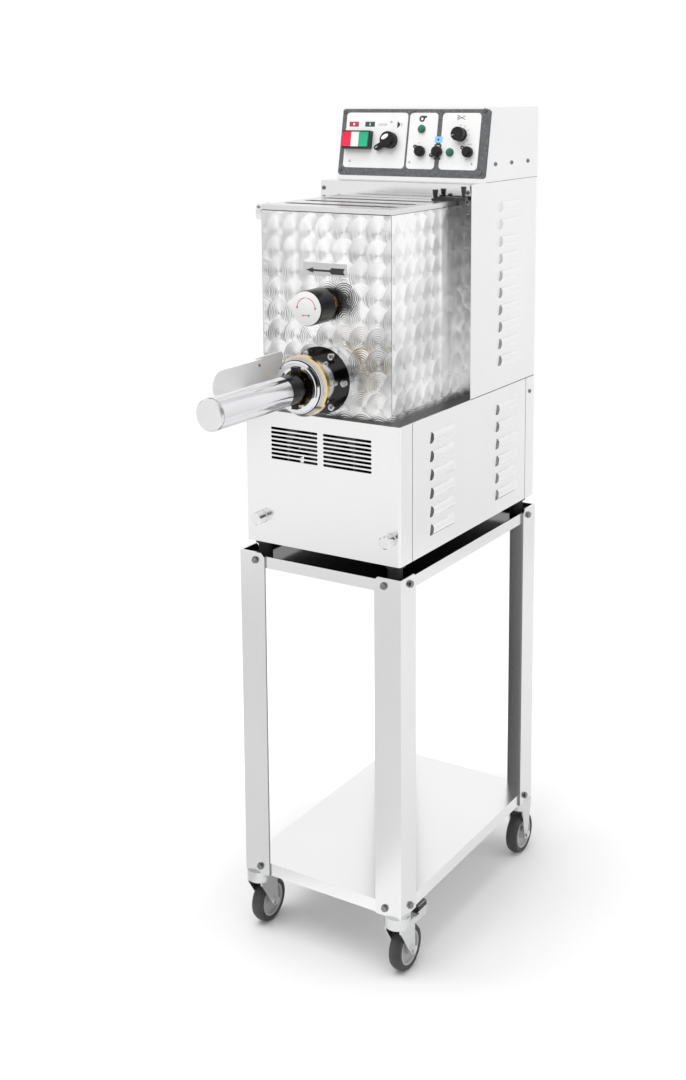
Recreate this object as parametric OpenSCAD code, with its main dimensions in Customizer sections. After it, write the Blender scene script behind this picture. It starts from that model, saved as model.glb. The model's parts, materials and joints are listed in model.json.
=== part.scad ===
// Electric pasta maker: an extruder head and mixing hopper on a cabinet, with a
// motor column, a sloping control box and a rotary cutter, on a wheeled stand.
// x runs across, y from the front to the back, z up. Modules measure y from the
// cabinet's front and z from the floor; machine() centres the whole on the origin.

/* [Cabinet] */
// Width of cabinet, column and control box
body_w = 270; // [260:1:300]
// Depth of the cabinet
body_d = 450; // [440:1:500]
// Height of the cabinet's underside above the floor
base_z = 641; // [560:1:740]
// Height of the cabinet
base_h = 206; // [200:1:260]
// Thickness of the sheet steel
sheet = 1.5; // [1:0.25:2]
// Depth of the front panel's side returns
front_return = 35.5; // [30:0.5:60]
// Depth of the rear panel's side returns
rear_return = 35; // [25:0.5:50]
// Radius of the sheet bends
bend_r = 4; // [2.5:0.5:8]

/* [Front grille] */
// Slots in each of the two groups
grille_slots = 8; // [4:1:9]
// Distance between slots
grille_pitch = 6.45; // [5:0.05:8]
// Height of a slot
grille_slot_h = 4; // [2:0.1:4.5]
// Length of a slot
grille_slot_w = 83; // [60:1:90]
// Distance between the two groups
grille_gap = 9.5; // [6:0.5:14]
// Distance from the cabinet's top to the top slot
grille_drop = 26; // [20:1:40]

/* [Louvres] */
// Length of a cabinet louvre
louvre_l = 71; // [50:1:80]
// Height of a cabinet louvre
louvre_h = 17; // [10:0.5:20]
// How far a louvre stands out of its panel
louvre_out = 4.5; // [3:0.5:6]
// Cabinet louvres in a stack
louvre_rows = 6; // [3:1:6]
// Distance between cabinet louvres
louvre_pitch = 28; // [24:0.5:30]
// Start of the front stack, from the cabinet's front
louvre_front_y = 87.5; // [80:0.5:110]
// Start of the rear stack, from the cabinet's front
louvre_rear_y = 304; // [260:1:320]
// Length of a column louvre
col_louvre_l = 70; // [50:1:85]
// Column louvres in a stack
col_louvre_rows = 10; // [5:1:10]
// Distance between column louvres
col_louvre_pitch = 27.2; // [24:0.1:29]

/* [Column and control box] */
// Depth of the column
column_d = 235; // [225:1:260]
// Height of the column
column_h = 330; // [325:1:380]
// Height of the control box
box_h = 113; // [105:1:140]
// Depth of the control box at its foot
box_foot_d = 186.5; // [160:0.5:200]
// Lean of the control panel from upright
panel_lean = 10.7; // [5:0.1:18]

/* [Hopper] */
// Distance of the hopper's sides inside the cabinet's
hopper_inset = 23.5; // [18:0.5:27]
// Height of the hopper above the cabinet
hopper_h = 298; // [290:1:320]
// Wall thickness of the hopper
hopper_wall = 2; // [1.5:0.25:3]
// Distance of the hopper's front from the cabinet's front
hopper_y = 17.5; // [15:0.5:30]
// Inner radius of the mixing trough
trough_r = 95; // [92:0.5:98]
// Height of the folded lid
lid_h = 8; // [6:0.5:12]
// Width of a lid slot
lid_slot_w = 18; // [10:1:22]
// Distance of the lid slots' ends from the lid's sides
lid_margin = 15; // [10:1:30]
// Diameter of the hinge pins
hinge_pin_d = 4; // [3:0.5:5]

/* [Drive] */
// Height of the extruder's axis above the cabinet
extruder_rise = 55; // [54:0.5:60]
// Module of the gears
gear_module = 2; // [1.9:0.05:2.05]
// Teeth of the motor pinion
pinion_teeth = 18; // [17:1:20]
// Teeth of the auger gear
auger_teeth = 44; // [42:1:45]
// Teeth of the mixer gear
mixer_teeth = 66; // [64:1:67]
// Width of the gears
gear_w = 16; // [10:1:18]
// Thinning of each tooth for play
gear_play = 0.2; // [0.1:0.05:0.4]
// Diameter of the auger shaft
auger_shaft_d = 20; // [16:1:24]
// Diameter of the mixer shaft
mixer_shaft_d = 18; // [14:1:20]
// Reach of the mixing pins
mixer_reach = 81; // [60:1:83]
// Mixing pins along the shaft
mixer_pins = 6; // [3:1:8]
// Diameter of the motor
motor_d = 130; // [100:1:132]
// Length of the motor
motor_l = 146; // [100:1:150]

/* [Extruder head] */
// Bore of the extruder barrel
barrel_bore = 46; // [44:0.5:47]
// Outer diameter of the extruder barrel
barrel_d = 54; // [53:0.5:56]
// Diameter of the neck in front of the flange
neck_d = 72; // [70:0.5:74]
// Diameter of the barrel flange
flange_d = 99; // [98:1:108]
// Diameter of the circle of flange bolts
bolt_circle_d = 86; // [84:0.5:87]
// Diameter of the ring nut
nut_d = 89; // [84:1:92]
// Front opening of the ring nut
nut_mouth_d = 52; // [46:1:56]
// Pitch of the auger's thread
auger_pitch = 30; // [24:1:40]

/* [Cutter] */
// Diameter of the cutter's tube
tube_d = 45; // [43:0.5:48]
// Length of the cutter's tube
tube_l = 162; // [150:1:190]
// Length of the knife
knife_l = 61; // [50:1:64]
// Width of the knife
knife_w = 10; // [6:0.5:12]
// Height of the guard plate
guard_h = 39; // [37:1:46]
// Distance of the guard plate from the cutter's axis
guard_x = 55; // [54.5:0.5:58]
// Reach of the guard plate in front of the cabinet
guard_l = 181; // [170:1:200]

/* [Stand] */
// Distance of the legs outside the cabinet's sides
stand_side = 6.5; // [4:0.5:12]
// Distance of the front legs before the cabinet's front
stand_front = 10; // [6:1:14]
// Depth over the legs
stand_d = 453; // [445:1:480]
// Width of a leg's flange
leg_w = 44.5; // [40:0.5:50]
// Thickness of a leg
leg_t = 3; // [2:0.25:4]
// Height of the legs' lower ends
leg_foot_z = 100; // [96:1:112]
// Height of the shelf's folded edge
shelf_edge = 20; // [18:1:30]
// Height of the top rails
rail_h = 18; // [16:1:24]
// Diameter of the rubber feet
foot_d = 30; // [24:1:34]
// Height of the rubber feet
foot_h = 29; // [22:1:34]

/* [Casters] */
// Diameter of the wheels
wheel_d = 71; // [66:1:74]
// Width of the wheels
wheel_w = 20; // [18:1:26]
// Trail of a front wheel behind its swivel
caster_trail = 22.5; // [18:0.5:26]
// Diameter of the caster heads
head_d = 40; // [36:1:42]
// Distance of the casters inside the legs' sides
head_in = 15; // [14:1:20]

/* [Controls] */
// Diameter of the main selector
selector_d = 27; // [24:1:30]
// Reach of the main selector's nose
selector_reach = 28; // [24:1:30]
// Diameter of the speed dial
dial_d = 22; // [20:1:28]
// Diameter of the three small selectors
small_knob_d = 17.5; // [14:0.5:19]
// Height of the main selector and the speed dial
knob_h = 14; // [12:0.5:18]
// Height of the small selectors
small_knob_h = 9; // [7:0.5:12]
// Width of the switch body
switch_w = 51; // [44:1:56]
// Height of the switch body
switch_h = 28.5; // [24:0.5:32]
// Travel of the push buttons
button_travel = 3; // [2:0.25:3.5]
// Diameter of the mixer's locking knob
mixer_knob_d = 51.5; // [46:0.5:56]
// Diameter of the front panel's knobs
panel_knob_d = 19; // [16:1:24]

/* [Hidden] */
$fn = 48;
eps = 0.01;
// Radial play of a shaft in its bore
fit = 0.05;
// Gap between parts that move past each other
gap = 0.5;
// Gap between fixed parts that pass through one another
seat = 0.2;

half_w = body_w / 2;
base_top = base_z + base_h;
hopper_w = body_w - 2 * hopper_inset;
lid_slot_l = hopper_w - 2 * lid_margin;
stand_w = body_w + 2 * stand_side;
column_y = body_d - column_d;
column_top = base_top + column_h;
box_y = body_d - box_foot_d;
overall_h = column_top + box_h;
panel_len = box_h / cos(panel_lean);
hopper_top = base_top + hopper_h;
hopper_back = column_y;
stand_back = stand_d - stand_front;
stand_mid = (stand_back - stand_front) / 2;
leg_top = base_z - foot_h + 14;
plate_t = 3;

extruder_z = base_top + extruder_rise;
mixer_z = extruder_z + gear_module * (auger_teeth + mixer_teeth) / 2;
motor_z = extruder_z - gear_module * (auger_teeth + pinion_teeth) / 2;
gear_y = column_y + 10;
bearing_y = gear_y + gear_w + 10;
bearing_t = 8;
bearing_w = body_w - 50;
motor_y = bearing_y + bearing_t;
shaft_end_y = motor_y - gap;
// Outer radii of the shafts' bushes, the motor's passage and the mixer shaft's spigot
mixer_bush_r = 14;
auger_bush_r = 15;
motor_hole_r = 12;
spigot_r = 6;

wheel_r = wheel_d / 2;
caster_x = stand_w / 2 - head_in;
front_caster_y = -stand_front + head_in;
rear_caster_y = stand_back - head_in;
head_bottom = wheel_d + 15;

neck_y = -47.5;
flange_y = 4;
nut_back_y = -39.5;
nut_front_y = -53.5;
mouth_y = -61;
nut_lip = 3;
knife_y = -66;
tube_back_y = -100;
tube_front_y = tube_back_y - tube_l;
cap_t = 2;
gland_out = 15;
front_reach = -(tube_front_y - cap_t);
rear_reach = max(rear_caster_y + wheel_r, body_d + gland_out);
guard_z = extruder_z - 2;
hinge_x = -(guard_x + 5);
hinge_y = 6;
guard_pin_r = 3;
post_w = 20;

// Moves the modules' own coordinates to the centred frame
module machine() translate([0, (front_reach - rear_reach) / 2, 0]) children();

// A plan or section drawn in x and z, given length l from y
module along_y(y, l) translate([0, y + l, 0]) rotate([90, 0, 0]) linear_extrude(l) children();

// A section drawn in y and z, given length l from x
module along_x(x, l) translate([x, 0, 0]) rotate([90, 0, 90]) linear_extrude(l) children();

// A rod of radius r along y at x, z
module rod_y(x, z, r, y, l) translate([x, y, z]) rotate([-90, 0, 0]) cylinder(r = r, h = l);

// The stand's four corners, with x and y pointing inwards from each
module stand_corners() {
    for (side = [-1, 1], end = [-1, 1])
        translate([side * stand_w / 2, stand_mid + end * stand_d / 2, 0])
            mirror([side > 0 ? 1 : 0, 0, 0]) mirror([0, end > 0 ? 1 : 0, 0]) children();
}

// Both sides of the machine, with x pointing outwards
module both_sides() for (side = [0, 1]) mirror([side, 0, 0]) children();

// Stand

bolt_levels = [leg_foot_z + 12.5, leg_top - 12];
bolt_front_x = 28;
bolt_side_y = 27;
bolt_d = 6;

module bolt_shanks(d, l) {
    for (z = bolt_levels) {
        translate([bolt_front_x, 0, z]) rotate([-90, 0, 0]) cylinder(d = d, h = l);
        translate([0, bolt_side_y, z]) rotate([0, 90, 0]) cylinder(d = d, h = l);
    }
}

module stand_legs() color("silver") machine() stand_corners() {
    chamfer = 6;
    difference() {
        union() {
            translate([0, 0, leg_foot_z]) linear_extrude(leg_top - leg_foot_z)
                polygon([[0, 0], [leg_w, 0], [leg_w, leg_t], [leg_t, leg_t], [leg_t, leg_w], [0, leg_w]]);
            translate([leg_t - eps, leg_t - eps, leg_foot_z])
                cube([leg_w - leg_t, leg_w - leg_t, plate_t]);
        }
        translate([0, -1, 0]) rotate([-90, 0, 0]) linear_extrude(leg_t + 1)
            polygon([[leg_w - chamfer, -leg_top], [leg_w + 1, -leg_top + chamfer + 1],
                [leg_w + 1, -leg_top - 1], [leg_w - chamfer, -leg_top - 1]]);
        along_x(-1, leg_t + 1)
            polygon([[leg_w - chamfer, leg_top], [leg_w + 1, leg_top - chamfer - 1],
                [leg_w + 1, leg_top + 1], [leg_w - chamfer, leg_top + 1]]);
        bolt_shanks(bolt_d, leg_t + 1);
        translate([head_in, head_in, leg_foot_z - 1]) cylinder(d = 12, h = plate_t + 2);
    }
}

// A rectangular ring of folded sheet inside the legs
module leg_ring(z, h, t) {
    w = stand_w - 2 * leg_t;
    d = stand_d - 2 * leg_t;
    translate([-w / 2, stand_mid - d / 2, z]) difference() {
        cube([w, d, h]);
        translate([t, t, -1]) cube([w - 2 * t, d - 2 * t, h + 2]);
    }
}

rail_t = 2;
rail_z = leg_top - rail_h - 5;

// A folded ring round the plate that the cabinet's feet stand on
module top_rails() color("silver") machine() difference() {
    w = stand_w - 2 * leg_t;
    d = stand_d - 2 * leg_t;
    union() {
        leg_ring(rail_z, rail_h, rail_t);
        translate([-w / 2, stand_mid - d / 2, base_z - foot_h - rail_t]) cube([w, d, rail_t]);
    }
    stand_corners() bolt_shanks(bolt_d, leg_t + rail_t + 1);
}

module shelf() color("gainsboro") machine() difference() {
    w = stand_w - 2 * leg_t;
    d = stand_d - 2 * leg_t;
    union() {
        leg_ring(leg_foot_z, shelf_edge, sheet);
        translate([-w / 2, stand_mid - d / 2, leg_foot_z + shelf_edge - sheet]) cube([w, d, sheet]);
    }
    stand_corners() {
        translate([-1, -1, leg_foot_z - 1]) cube([leg_w + 2, leg_w + 2, plate_t + 1]);
        bolt_shanks(bolt_d, leg_t + sheet + 1);
    }
}

module stand_bolt(grip) {
    translate([0, 0, -4]) cylinder(d = 10, h = 4, $fn = 6);
    cylinder(d = bolt_d, h = grip);
}

module stand_bolts() color("dimgray") machine() stand_corners()
    for (i = [0, 1]) {
        grip = leg_t + (i == 0 ? sheet : rail_t);
        translate([bolt_front_x, 0, bolt_levels[i]]) rotate([-90, 0, 0]) stand_bolt(grip);
        translate([0, bolt_side_y, bolt_levels[i]]) rotate([0, 90, 0]) stand_bolt(grip);
    }

module rubber_feet() color("#222222") machine()
    for (side = [-1, 1], y = [20, min(body_d - 25, stand_back - 18)])
        translate([side * (half_w - 20), y, base_z - foot_h]) {
            cylinder(d = foot_d - 8, h = foot_h);
            translate([0, 0, foot_h - 6]) cylinder(d = foot_d, h = 6);
        }

// Casters

module caster_mounts() color("silver") machine()
    for (side = [-1, 1], y = [front_caster_y, rear_caster_y]) translate([side * caster_x, y, 0]) {
        translate([0, 0, head_bottom]) cylinder(d = head_d, h = leg_foot_z - head_bottom);
        translate([0, 0, leg_foot_z - eps]) cylinder(d = 12, h = 6);
        translate([0, 0, head_bottom - crown_t - crown_gap]) cylinder(d = pin_d, h = crown_t + 1);
    }

cheek_in = wheel_w / 2 + 1.5;
cheek_t = 2.5;
axle_d = 8;
pin_d = 10;
crown_t = 3.4;
crown_gap = 0.4;
crown_z = head_bottom - crown_gap - crown_t;
pedal_y = caster_trail + 17;
pedal_z = head_bottom - 8;

// A fork whose axle lies behind its head by the trail, with lugs for a brake pedal
module caster_fork(trail, lugs) {
    cheek_out = cheek_in + cheek_t;
    back = max(trail + 6, 14);
    difference() {
        union() {
            translate([0, 0, crown_z]) {
                cylinder(d = head_d - 2, h = crown_t);
                translate([-cheek_out, 0, 0]) cube([2 * cheek_out, back, crown_t]);
            }
            for (side = [-1, 1]) {
                x0 = side > 0 ? cheek_in : -cheek_out;
                along_x(x0, cheek_t) polygon([[-14, crown_z + 1], [-14, crown_z - 5],
                    [trail - 7, wheel_r - 4], [trail - 3, wheel_r - 9],
                    [trail + 3, wheel_r - 9], [trail + 7, wheel_r - 4],
                    [back, crown_z - 5], [back, crown_z + 1]]);
                if (lugs) along_x(x0, cheek_t) polygon([[trail + 2, crown_z - 8],
                    [pedal_y + 4, pedal_z - 6], [pedal_y + 6, pedal_z], [pedal_y + 3, pedal_z + 5],
                    [pedal_y - 4, pedal_z + 5], [trail + 2, crown_z + 1]]);
            }
        }
        translate([0, 0, crown_z - 1]) cylinder(r = pin_d / 2 + fit, h = crown_t + 2);
    }
    translate([-cheek_out - 2, trail, wheel_r]) rotate([0, 90, 0])
        cylinder(d = axle_d, h = 2 * cheek_out + 4);
    for (side = [-1, 1]) translate([side * (cheek_out + 2), trail, wheel_r]) rotate([0, 90, 0])
        cylinder(d = 13, h = 4, center = true, $fn = 6);
    if (lugs) translate([-cheek_out, pedal_y, pedal_z]) rotate([0, 90, 0])
        cylinder(d = 5, h = 2 * cheek_out);
}

module fork_front_left() color("silver") machine()
    translate([-caster_x, front_caster_y, 0]) caster_fork(caster_trail, false);
module fork_front_right() color("silver") machine()
    translate([caster_x, front_caster_y, 0]) caster_fork(caster_trail, true);
module fork_rear_left() color("silver") machine()
    translate([-caster_x, rear_caster_y, 0]) caster_fork(0, false);
module fork_rear_right() color("silver") machine()
    translate([caster_x, rear_caster_y, 0]) caster_fork(0, false);

module caster_wheel(trail) translate([0, trail, wheel_r]) rotate([0, 90, 0]) {
    half = wheel_w / 2;
    rotate_extrude($fn = 96) polygon([[axle_d / 2 + fit, -half - 1], [9, -half - 1], [9, -half + 5],
        [wheel_r - 11, -half + 5], [wheel_r - 10, -half + 1], [wheel_r - 6, -half + 1],
        [wheel_r - 4, -half], [wheel_r - 1.5, -half + 3], [wheel_r, -half + 8],
        [wheel_r, half - 8], [wheel_r - 1.5, half - 3], [wheel_r - 4, half],
        [wheel_r - 6, half - 1], [wheel_r - 10, half - 1], [wheel_r - 11, half - 5],
        [9, half - 5], [9, half + 1], [axle_d / 2 + fit, half + 1]]);
}

module wheel_front_left() color("gray") machine()
    translate([-caster_x, front_caster_y, 0]) caster_wheel(caster_trail);
module wheel_front_right() color("gray") machine()
    translate([caster_x, front_caster_y, 0]) caster_wheel(caster_trail);
module wheel_rear_left() color("gray") machine()
    translate([-caster_x, rear_caster_y, 0]) caster_wheel(0);
module wheel_rear_right() color("gray") machine()
    translate([caster_x, rear_caster_y, 0]) caster_wheel(0);

module brake_pedal() color("gainsboro") machine() translate([caster_x, front_caster_y, 0])
    difference() {
        half = cheek_in - 0.6;
        union() {
            along_x(-half, 2 * half) polygon([[pedal_y - 5, pedal_z - 3], [pedal_y + 6, pedal_z - 5],
                [pedal_y + 14, pedal_z - 9], [pedal_y + 30, pedal_z - 11],
                [pedal_y + 33, pedal_z - 8], [pedal_y + 33, pedal_z + 5],
                [pedal_y + 6, pedal_z + 5], [pedal_y - 5, pedal_z + 4.5]]);
            translate([-half + 1, pedal_y + 8, pedal_z + 4]) cube([2 * half - 2, 24, 8]);
        }
        translate([-half - 1, pedal_y, pedal_z]) rotate([0, 90, 0])
            cylinder(r = 2.5 + fit, h = 2 * half + 2);
    }

// Cabinet

// Plan of a sheet folded round one end of the cabinet: closed end at y = 0
module wrap_plan(d, w = body_w, t = sheet, r = bend_r) difference() {
    union() {
        translate([-w / 2, r]) square([w, d - r]);
        translate([-w / 2 + r, 0]) square([w - 2 * r, r + eps]);
        for (side = [-1, 1]) translate([side * (w / 2 - r), r]) circle(r = r);
    }
    union() {
        translate([-w / 2 + t, r]) square([w - 2 * t, d - r + 1]);
        translate([-w / 2 + r, t]) square([w - 2 * r, r - t + eps]);
        for (side = [-1, 1]) translate([side * (w / 2 - r), r]) circle(r = r - t);
    }
}

// A slot with rounded ends, lying along x
module slot_shape(l, h) {
    square([l - h, h], center = true);
    for (side = [-1, 1]) translate([side * (l - h) / 2, 0]) circle(d = h, $fn = 12);
}

panel_knob_x = [28 - half_w, half_w - 16.5];
panel_knob_z = base_z + 39.5;
panel_knob_l = 18;
panel_stud_d = 8;

module front_panel() color("gainsboro") machine() difference() {
    translate([0, 0, base_z]) linear_extrude(base_h) wrap_plan(front_return);
    for (side = [-1, 1], i = [0 : grille_slots - 1])
        translate([side * (grille_gap + grille_slot_w) / 2, 0,
            base_top - grille_drop - i * grille_pitch])
            along_y(-1, sheet + 2) slot_shape(grille_slot_w, grille_slot_h);
    for (x = panel_knob_x) rod_y(x, panel_knob_z, panel_stud_d / 2 + fit, -1, sheet + 2);
}

module rear_panel() color("gainsboro") machine() difference() {
    translate([0, body_d, base_z]) mirror([0, 1, 0]) linear_extrude(base_h) wrap_plan(rear_return);
    rod_y(gland_x, gland_z, gland_r, body_d - sheet - 1, sheet + 2);
}

// Section of a pressed louvre hood, standing out in x from a panel at x = 0
module hood_section(h, out) polygon([[-0.2, h / 2], [out * 0.55, h * 0.42], [out * 0.9, h * 0.22],
    [out, -h * 0.05], [out * 0.9, -h * 0.3], [out * 0.55, -h * 0.45], [-0.2, -h / 2]]);

// Start of a louvre's hollow behind its raked front
hood_front = 6;
hood_lean = 12;
hood_turn = 30;

// One louvre along y from y = 0: a hollow hood with a raked front and an open back
module louvre_hood(l) difference() {
    along_y(0, l) hood_section(louvre_h, louvre_out);
    along_y(hood_front, l) {
        hood_section(louvre_h - 2.4, louvre_out - 1);
        translate([-3, -louvre_h / 2 + 2]) square([3, louvre_h - 4]);
    }
    translate([0, hood_front / 3, 0]) rotate([-hood_lean, 0, hood_turn])
        translate([-15, -20, -20]) cube([40, 20, 40]);
}

module louvre_cut(l) translate([-sheet - 1, hood_front, -louvre_h / 2 + 2.2])
    cube([sheet + 1, l - hood_front - 1.5, louvre_h - 4.4]);

module louvred_wall(y0, y1, z0, z1, stacks, l, rows, pitch) both_sides()
    translate([half_w, 0, 0]) {
        difference() {
            translate([-sheet, y0, z0]) cube([sheet, y1 - y0, z1 - z0]);
            for (s = stacks, i = [0 : rows - 1])
                translate([eps, s[0], s[1] - i * pitch]) louvre_cut(l);
        }
        for (s = stacks, i = [0 : rows - 1])
            translate([0, s[0], s[1] - i * pitch]) louvre_hood(l);
    }

base_louvre_z = base_top - 24.5 - louvre_h / 2;

module side_panels() color("gainsboro") machine()
    louvred_wall(front_return, body_d - rear_return, base_z, base_top,
        [[louvre_front_y, base_louvre_z], [louvre_rear_y, base_louvre_z]],
        louvre_l, louvre_rows, louvre_pitch);

// A plate from y = 0 with its corners clipped to clear the folded panels
module clipped_plate(w, d) {
    c = bend_r;
    polygon([[-w / 2 + c, 0], [w / 2 - c, 0], [w / 2, c], [w / 2, d - c],
        [w / 2 - c, d], [-w / 2 + c, d], [-w / 2, d - c], [-w / 2, c]]);
}

module chassis() color("slategray") machine() {
    inner = half_w - sheet;
    post_h = base_h - 2 * plate_t;
    difference() {
        union() {
            translate([0, sheet, base_z]) linear_extrude(plate_t)
                clipped_plate(2 * inner, body_d - 2 * sheet);
            translate([0, sheet, base_top - plate_t]) linear_extrude(plate_t)
                clipped_plate(2 * inner, column_y - sheet);
            for (x = [-inner + bend_r, inner - bend_r - post_w],
                 y = [sheet + bend_r, column_y - post_w])
                translate([x, y, base_z + plate_t - eps]) cube([post_w, post_w, post_h + 2 * eps]);
            translate([-bearing_w / 2, bearing_y, base_z + plate_t - eps])
                cube([bearing_w, bearing_t, mixer_z + 44 - base_z - plate_t]);
        }
        rod_y(0, mixer_z, mixer_bush_r, bearing_y - 1, bearing_t + 2);
        rod_y(0, extruder_z, auger_bush_r, bearing_y - 1, bearing_t + 2);
        rod_y(0, motor_z, motor_hole_r, bearing_y - 1, bearing_t + 2);
        for (x = panel_knob_x) rod_y(x, panel_knob_z, panel_stud_d / 2 + fit, 0, 20);
    }
}

module panel_knob(x) translate([x, 0, panel_knob_z]) rotate([90, 0, 0]) {
    rotate_extrude() polygon([[0, 0.3], [panel_knob_d / 2 - 2, 0.3], [panel_knob_d / 2, 2.3],
        [panel_knob_d / 2, panel_knob_l - 1.5], [panel_knob_d / 2 - 1.5, panel_knob_l], [0, panel_knob_l]]);
    translate([0, 0, -14]) cylinder(d = panel_stud_d, h = 14.4);
}

module panel_knob_left() color("silver") machine() panel_knob(panel_knob_x[0]);
module panel_knob_right() color("silver") machine() panel_knob(panel_knob_x[1]);

gland_x = half_w - 40;
gland_z = base_z + 45;
gland_r = 8;

module cord_gland() color("#222222") machine() difference() {
    union() {
        rod_y(gland_x, gland_z, gland_r, body_d - sheet - 6, sheet + 6 + eps);
        translate([gland_x, body_d, gland_z]) rotate([-90, 0, 0]) cylinder(d = 24, h = 6, $fn = 6);
        rod_y(gland_x, gland_z, 10, body_d + 6 - eps, gland_out - 6 + eps);
    }
    rod_y(gland_x, gland_z, 4.5, body_d - 20, 50);
}

// Column and control box

module column_front() color("gainsboro") machine() difference() {
    corner = 5;
    translate([-half_w, column_y, base_top]) cube([body_w, sheet, column_h]);
    for (side = [-1, 1]) translate([side * half_w, column_y - 1, column_top]) rotate([0, 45, 0])
        cube([corner, 2 * sheet + 4, corner], center = true);
    rod_y(0, mixer_z, mixer_bush_r + seat, column_y - 1, sheet + 2);
    rod_y(0, extruder_z, barrel_d / 2 + seat, column_y - 1, sheet + 2);
}

col_louvre_z = base_top + 290;

module column_casing() color("gainsboro") machine() {
    y0 = column_y + sheet;
    louvred_wall(y0, body_d - bend_r, base_top, column_top,
        [[column_y + 95.5, col_louvre_z]], col_louvre_l, col_louvre_rows, col_louvre_pitch);
    translate([0, body_d, base_top]) mirror([0, 1, 0])
        linear_extrude(column_h) wrap_plan(bend_r + eps);
    translate([-half_w + eps, y0, column_top - sheet])
        cube([body_w - 2 * eps, body_d - y0 - bend_r, sheet]);
}

// Places children on the sloping panel: x across, y up the slope, z outwards
module on_panel(x, t) translate([x, box_y + t * sin(panel_lean), column_top + t * cos(panel_lean)])
    rotate([90 - panel_lean, 0, 0]) children();

frame_t = 2;
spindle_d = 6;
// Places on the panel, across from the centre and up the slope
selector_at = [-39.5, 62.5];
dial_at = [half_w - 50, 73];
fan_knob_at = [17, 46];
drive_knob_at = [47.5, 46];
cutter_knob_at = [half_w - 34, 46];
switch_at = [36 - half_w, 62.5];
lamps_at = [[15.5, 81.5], [69, 45.5]];
spindles = [selector_at, dial_at, fan_knob_at, drive_knob_at, cutter_knob_at];
button_w = 19;
button_x = (switch_w - button_w) / 2;

module spindle_bores(l) for (p = spindles) on_panel(p[0], p[1])
    translate([0, 0, -l]) cylinder(r = spindle_d / 2 + fit, h = 2 * l);

module box_section(inset) {
    lean = box_h * tan(panel_lean);
    polygon([[box_y + inset, column_top + inset], [box_y + lean + inset, overall_h - inset],
        [body_d - inset, overall_h - inset], [body_d - inset, column_top + inset]]);
}

module control_box() color("gainsboro") machine() difference() {
    along_x(-half_w, body_w) box_section(0);
    along_x(-half_w + sheet, body_w - 2 * sheet) box_section(sheet);
    spindle_bores(8);
    for (side = [-1, 1]) on_panel(switch_at[0] + side * button_x, switch_at[1])
        cylinder(d = 10, h = 20, center = true);
}

module panel_frame() color("#3a3c3e") machine() difference() {
    w = body_w - 4;
    on_panel(0, 6) translate([-w / 2, 0, 0]) linear_extrude(frame_t) difference() {
        square([w, panel_len - 8]);
        for (x = [0, w], y = [0, panel_len - 8]) translate([x, y]) rotate(45)
            square(5, center = true);
    }
    spindle_bores(8);
    on_panel(switch_at[0], switch_at[1]) cube([switch_w + seat, switch_h + seat, 20], center = true);
}

switch_depth = 12;

module switch_body() color("#111111") machine() on_panel(switch_at[0], switch_at[1]) difference() {
    translate([-switch_w / 2, -switch_h / 2, 0]) cube([switch_w, switch_h, switch_depth]);
    for (side = [-1, 1]) translate([side * button_x, 0, switch_depth - 6])
        linear_extrude(7) square([button_w - 2, switch_h - 4], center = true);
    for (side = [-1, 1]) translate([side * button_x, 0, -1]) cylinder(r = 4 + fit, h = 20);
}

module push_button(side) on_panel(switch_at[0] + side * button_x, switch_at[1]) {
    translate([0, 0, switch_depth - 6 + button_travel + 0.3]) linear_extrude(6)
        square([button_w - 3, switch_h - 5], center = true);
    translate([0, 0, -5]) cylinder(r = 4, h = 5 + switch_depth);
}

module stop_button() color("red") machine() push_button(-1);
module start_button() color("green") machine() push_button(1);

// A round knob with a nose turned by an angle, and a spindle into the panel
module selector(d, h, reach, nose_w, turn) {
    translate([0, 0, frame_t + gap]) cylinder(d = d, h = h - 1.5);
    translate([0, 0, frame_t + gap + h - 1.5 - eps]) cylinder(d1 = d, d2 = d - 3, h = 1.5);
    rotate(turn) translate([0, 0, frame_t + gap + 0.5]) linear_extrude(h * 0.6) {
        translate([0, -nose_w / 2]) square([reach - nose_w / 2, nose_w]);
        translate([reach - nose_w / 2, 0]) circle(d = nose_w);
    }
    translate([0, 0, -6]) cylinder(d = spindle_d, h = 6 + frame_t + gap + eps);
}

module small_selector(turn) selector(small_knob_d, small_knob_h, small_knob_d / 2 + 3.6, 5, turn);

module main_selector() color("#111111") machine() on_panel(selector_at[0], selector_at[1])
    selector(selector_d, knob_h, selector_reach, 7, 207);
module fan_knob() color("#111111") machine()
    on_panel(fan_knob_at[0], fan_knob_at[1]) small_selector(140);
module drive_knob() color("#111111") machine()
    on_panel(drive_knob_at[0], drive_knob_at[1]) small_selector(213);
module cutter_knob() color("#111111") machine()
    on_panel(cutter_knob_at[0], cutter_knob_at[1]) small_selector(144);

module speed_dial() color("#111111") machine() on_panel(dial_at[0], dial_at[1]) {
    flutes = 12;
    translate([0, 0, frame_t + gap]) cylinder(d = dial_d, h = 2);
    translate([0, 0, frame_t + gap + 2 - eps]) linear_extrude(knob_h - 2) difference() {
        circle(d = dial_d - 0.6);
        for (i = [0 : flutes - 1]) rotate(i * 360 / flutes) translate([dial_d / 2 + 0.5, 0])
            circle(d = 3.2, $fn = 12);
    }
    translate([0, 0, -6]) cylinder(d = spindle_d, h = 6 + frame_t + gap + eps);
}

module pilot_lamps() color("limegreen") machine() for (p = lamps_at) on_panel(p[0], p[1])
    translate([0, 0, frame_t]) rotate_extrude() polygon([[0, 0], [6.5, 0], [6.5, 2], [5.5, 2.4],
        [5, 5], [3.5, 6.4], [0, 7]]);

// Screw heads seated on the sheets: frame corners, box sides and column front
frame_screws = [[5.5 - half_w, 15], [5.5 - half_w, 109], [-3, 110], [half_w - 12, 111], [half_w - 11, 15]];

module screw_head() cylinder(d1 = 7, d2 = 5, h = 2.2);

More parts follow.
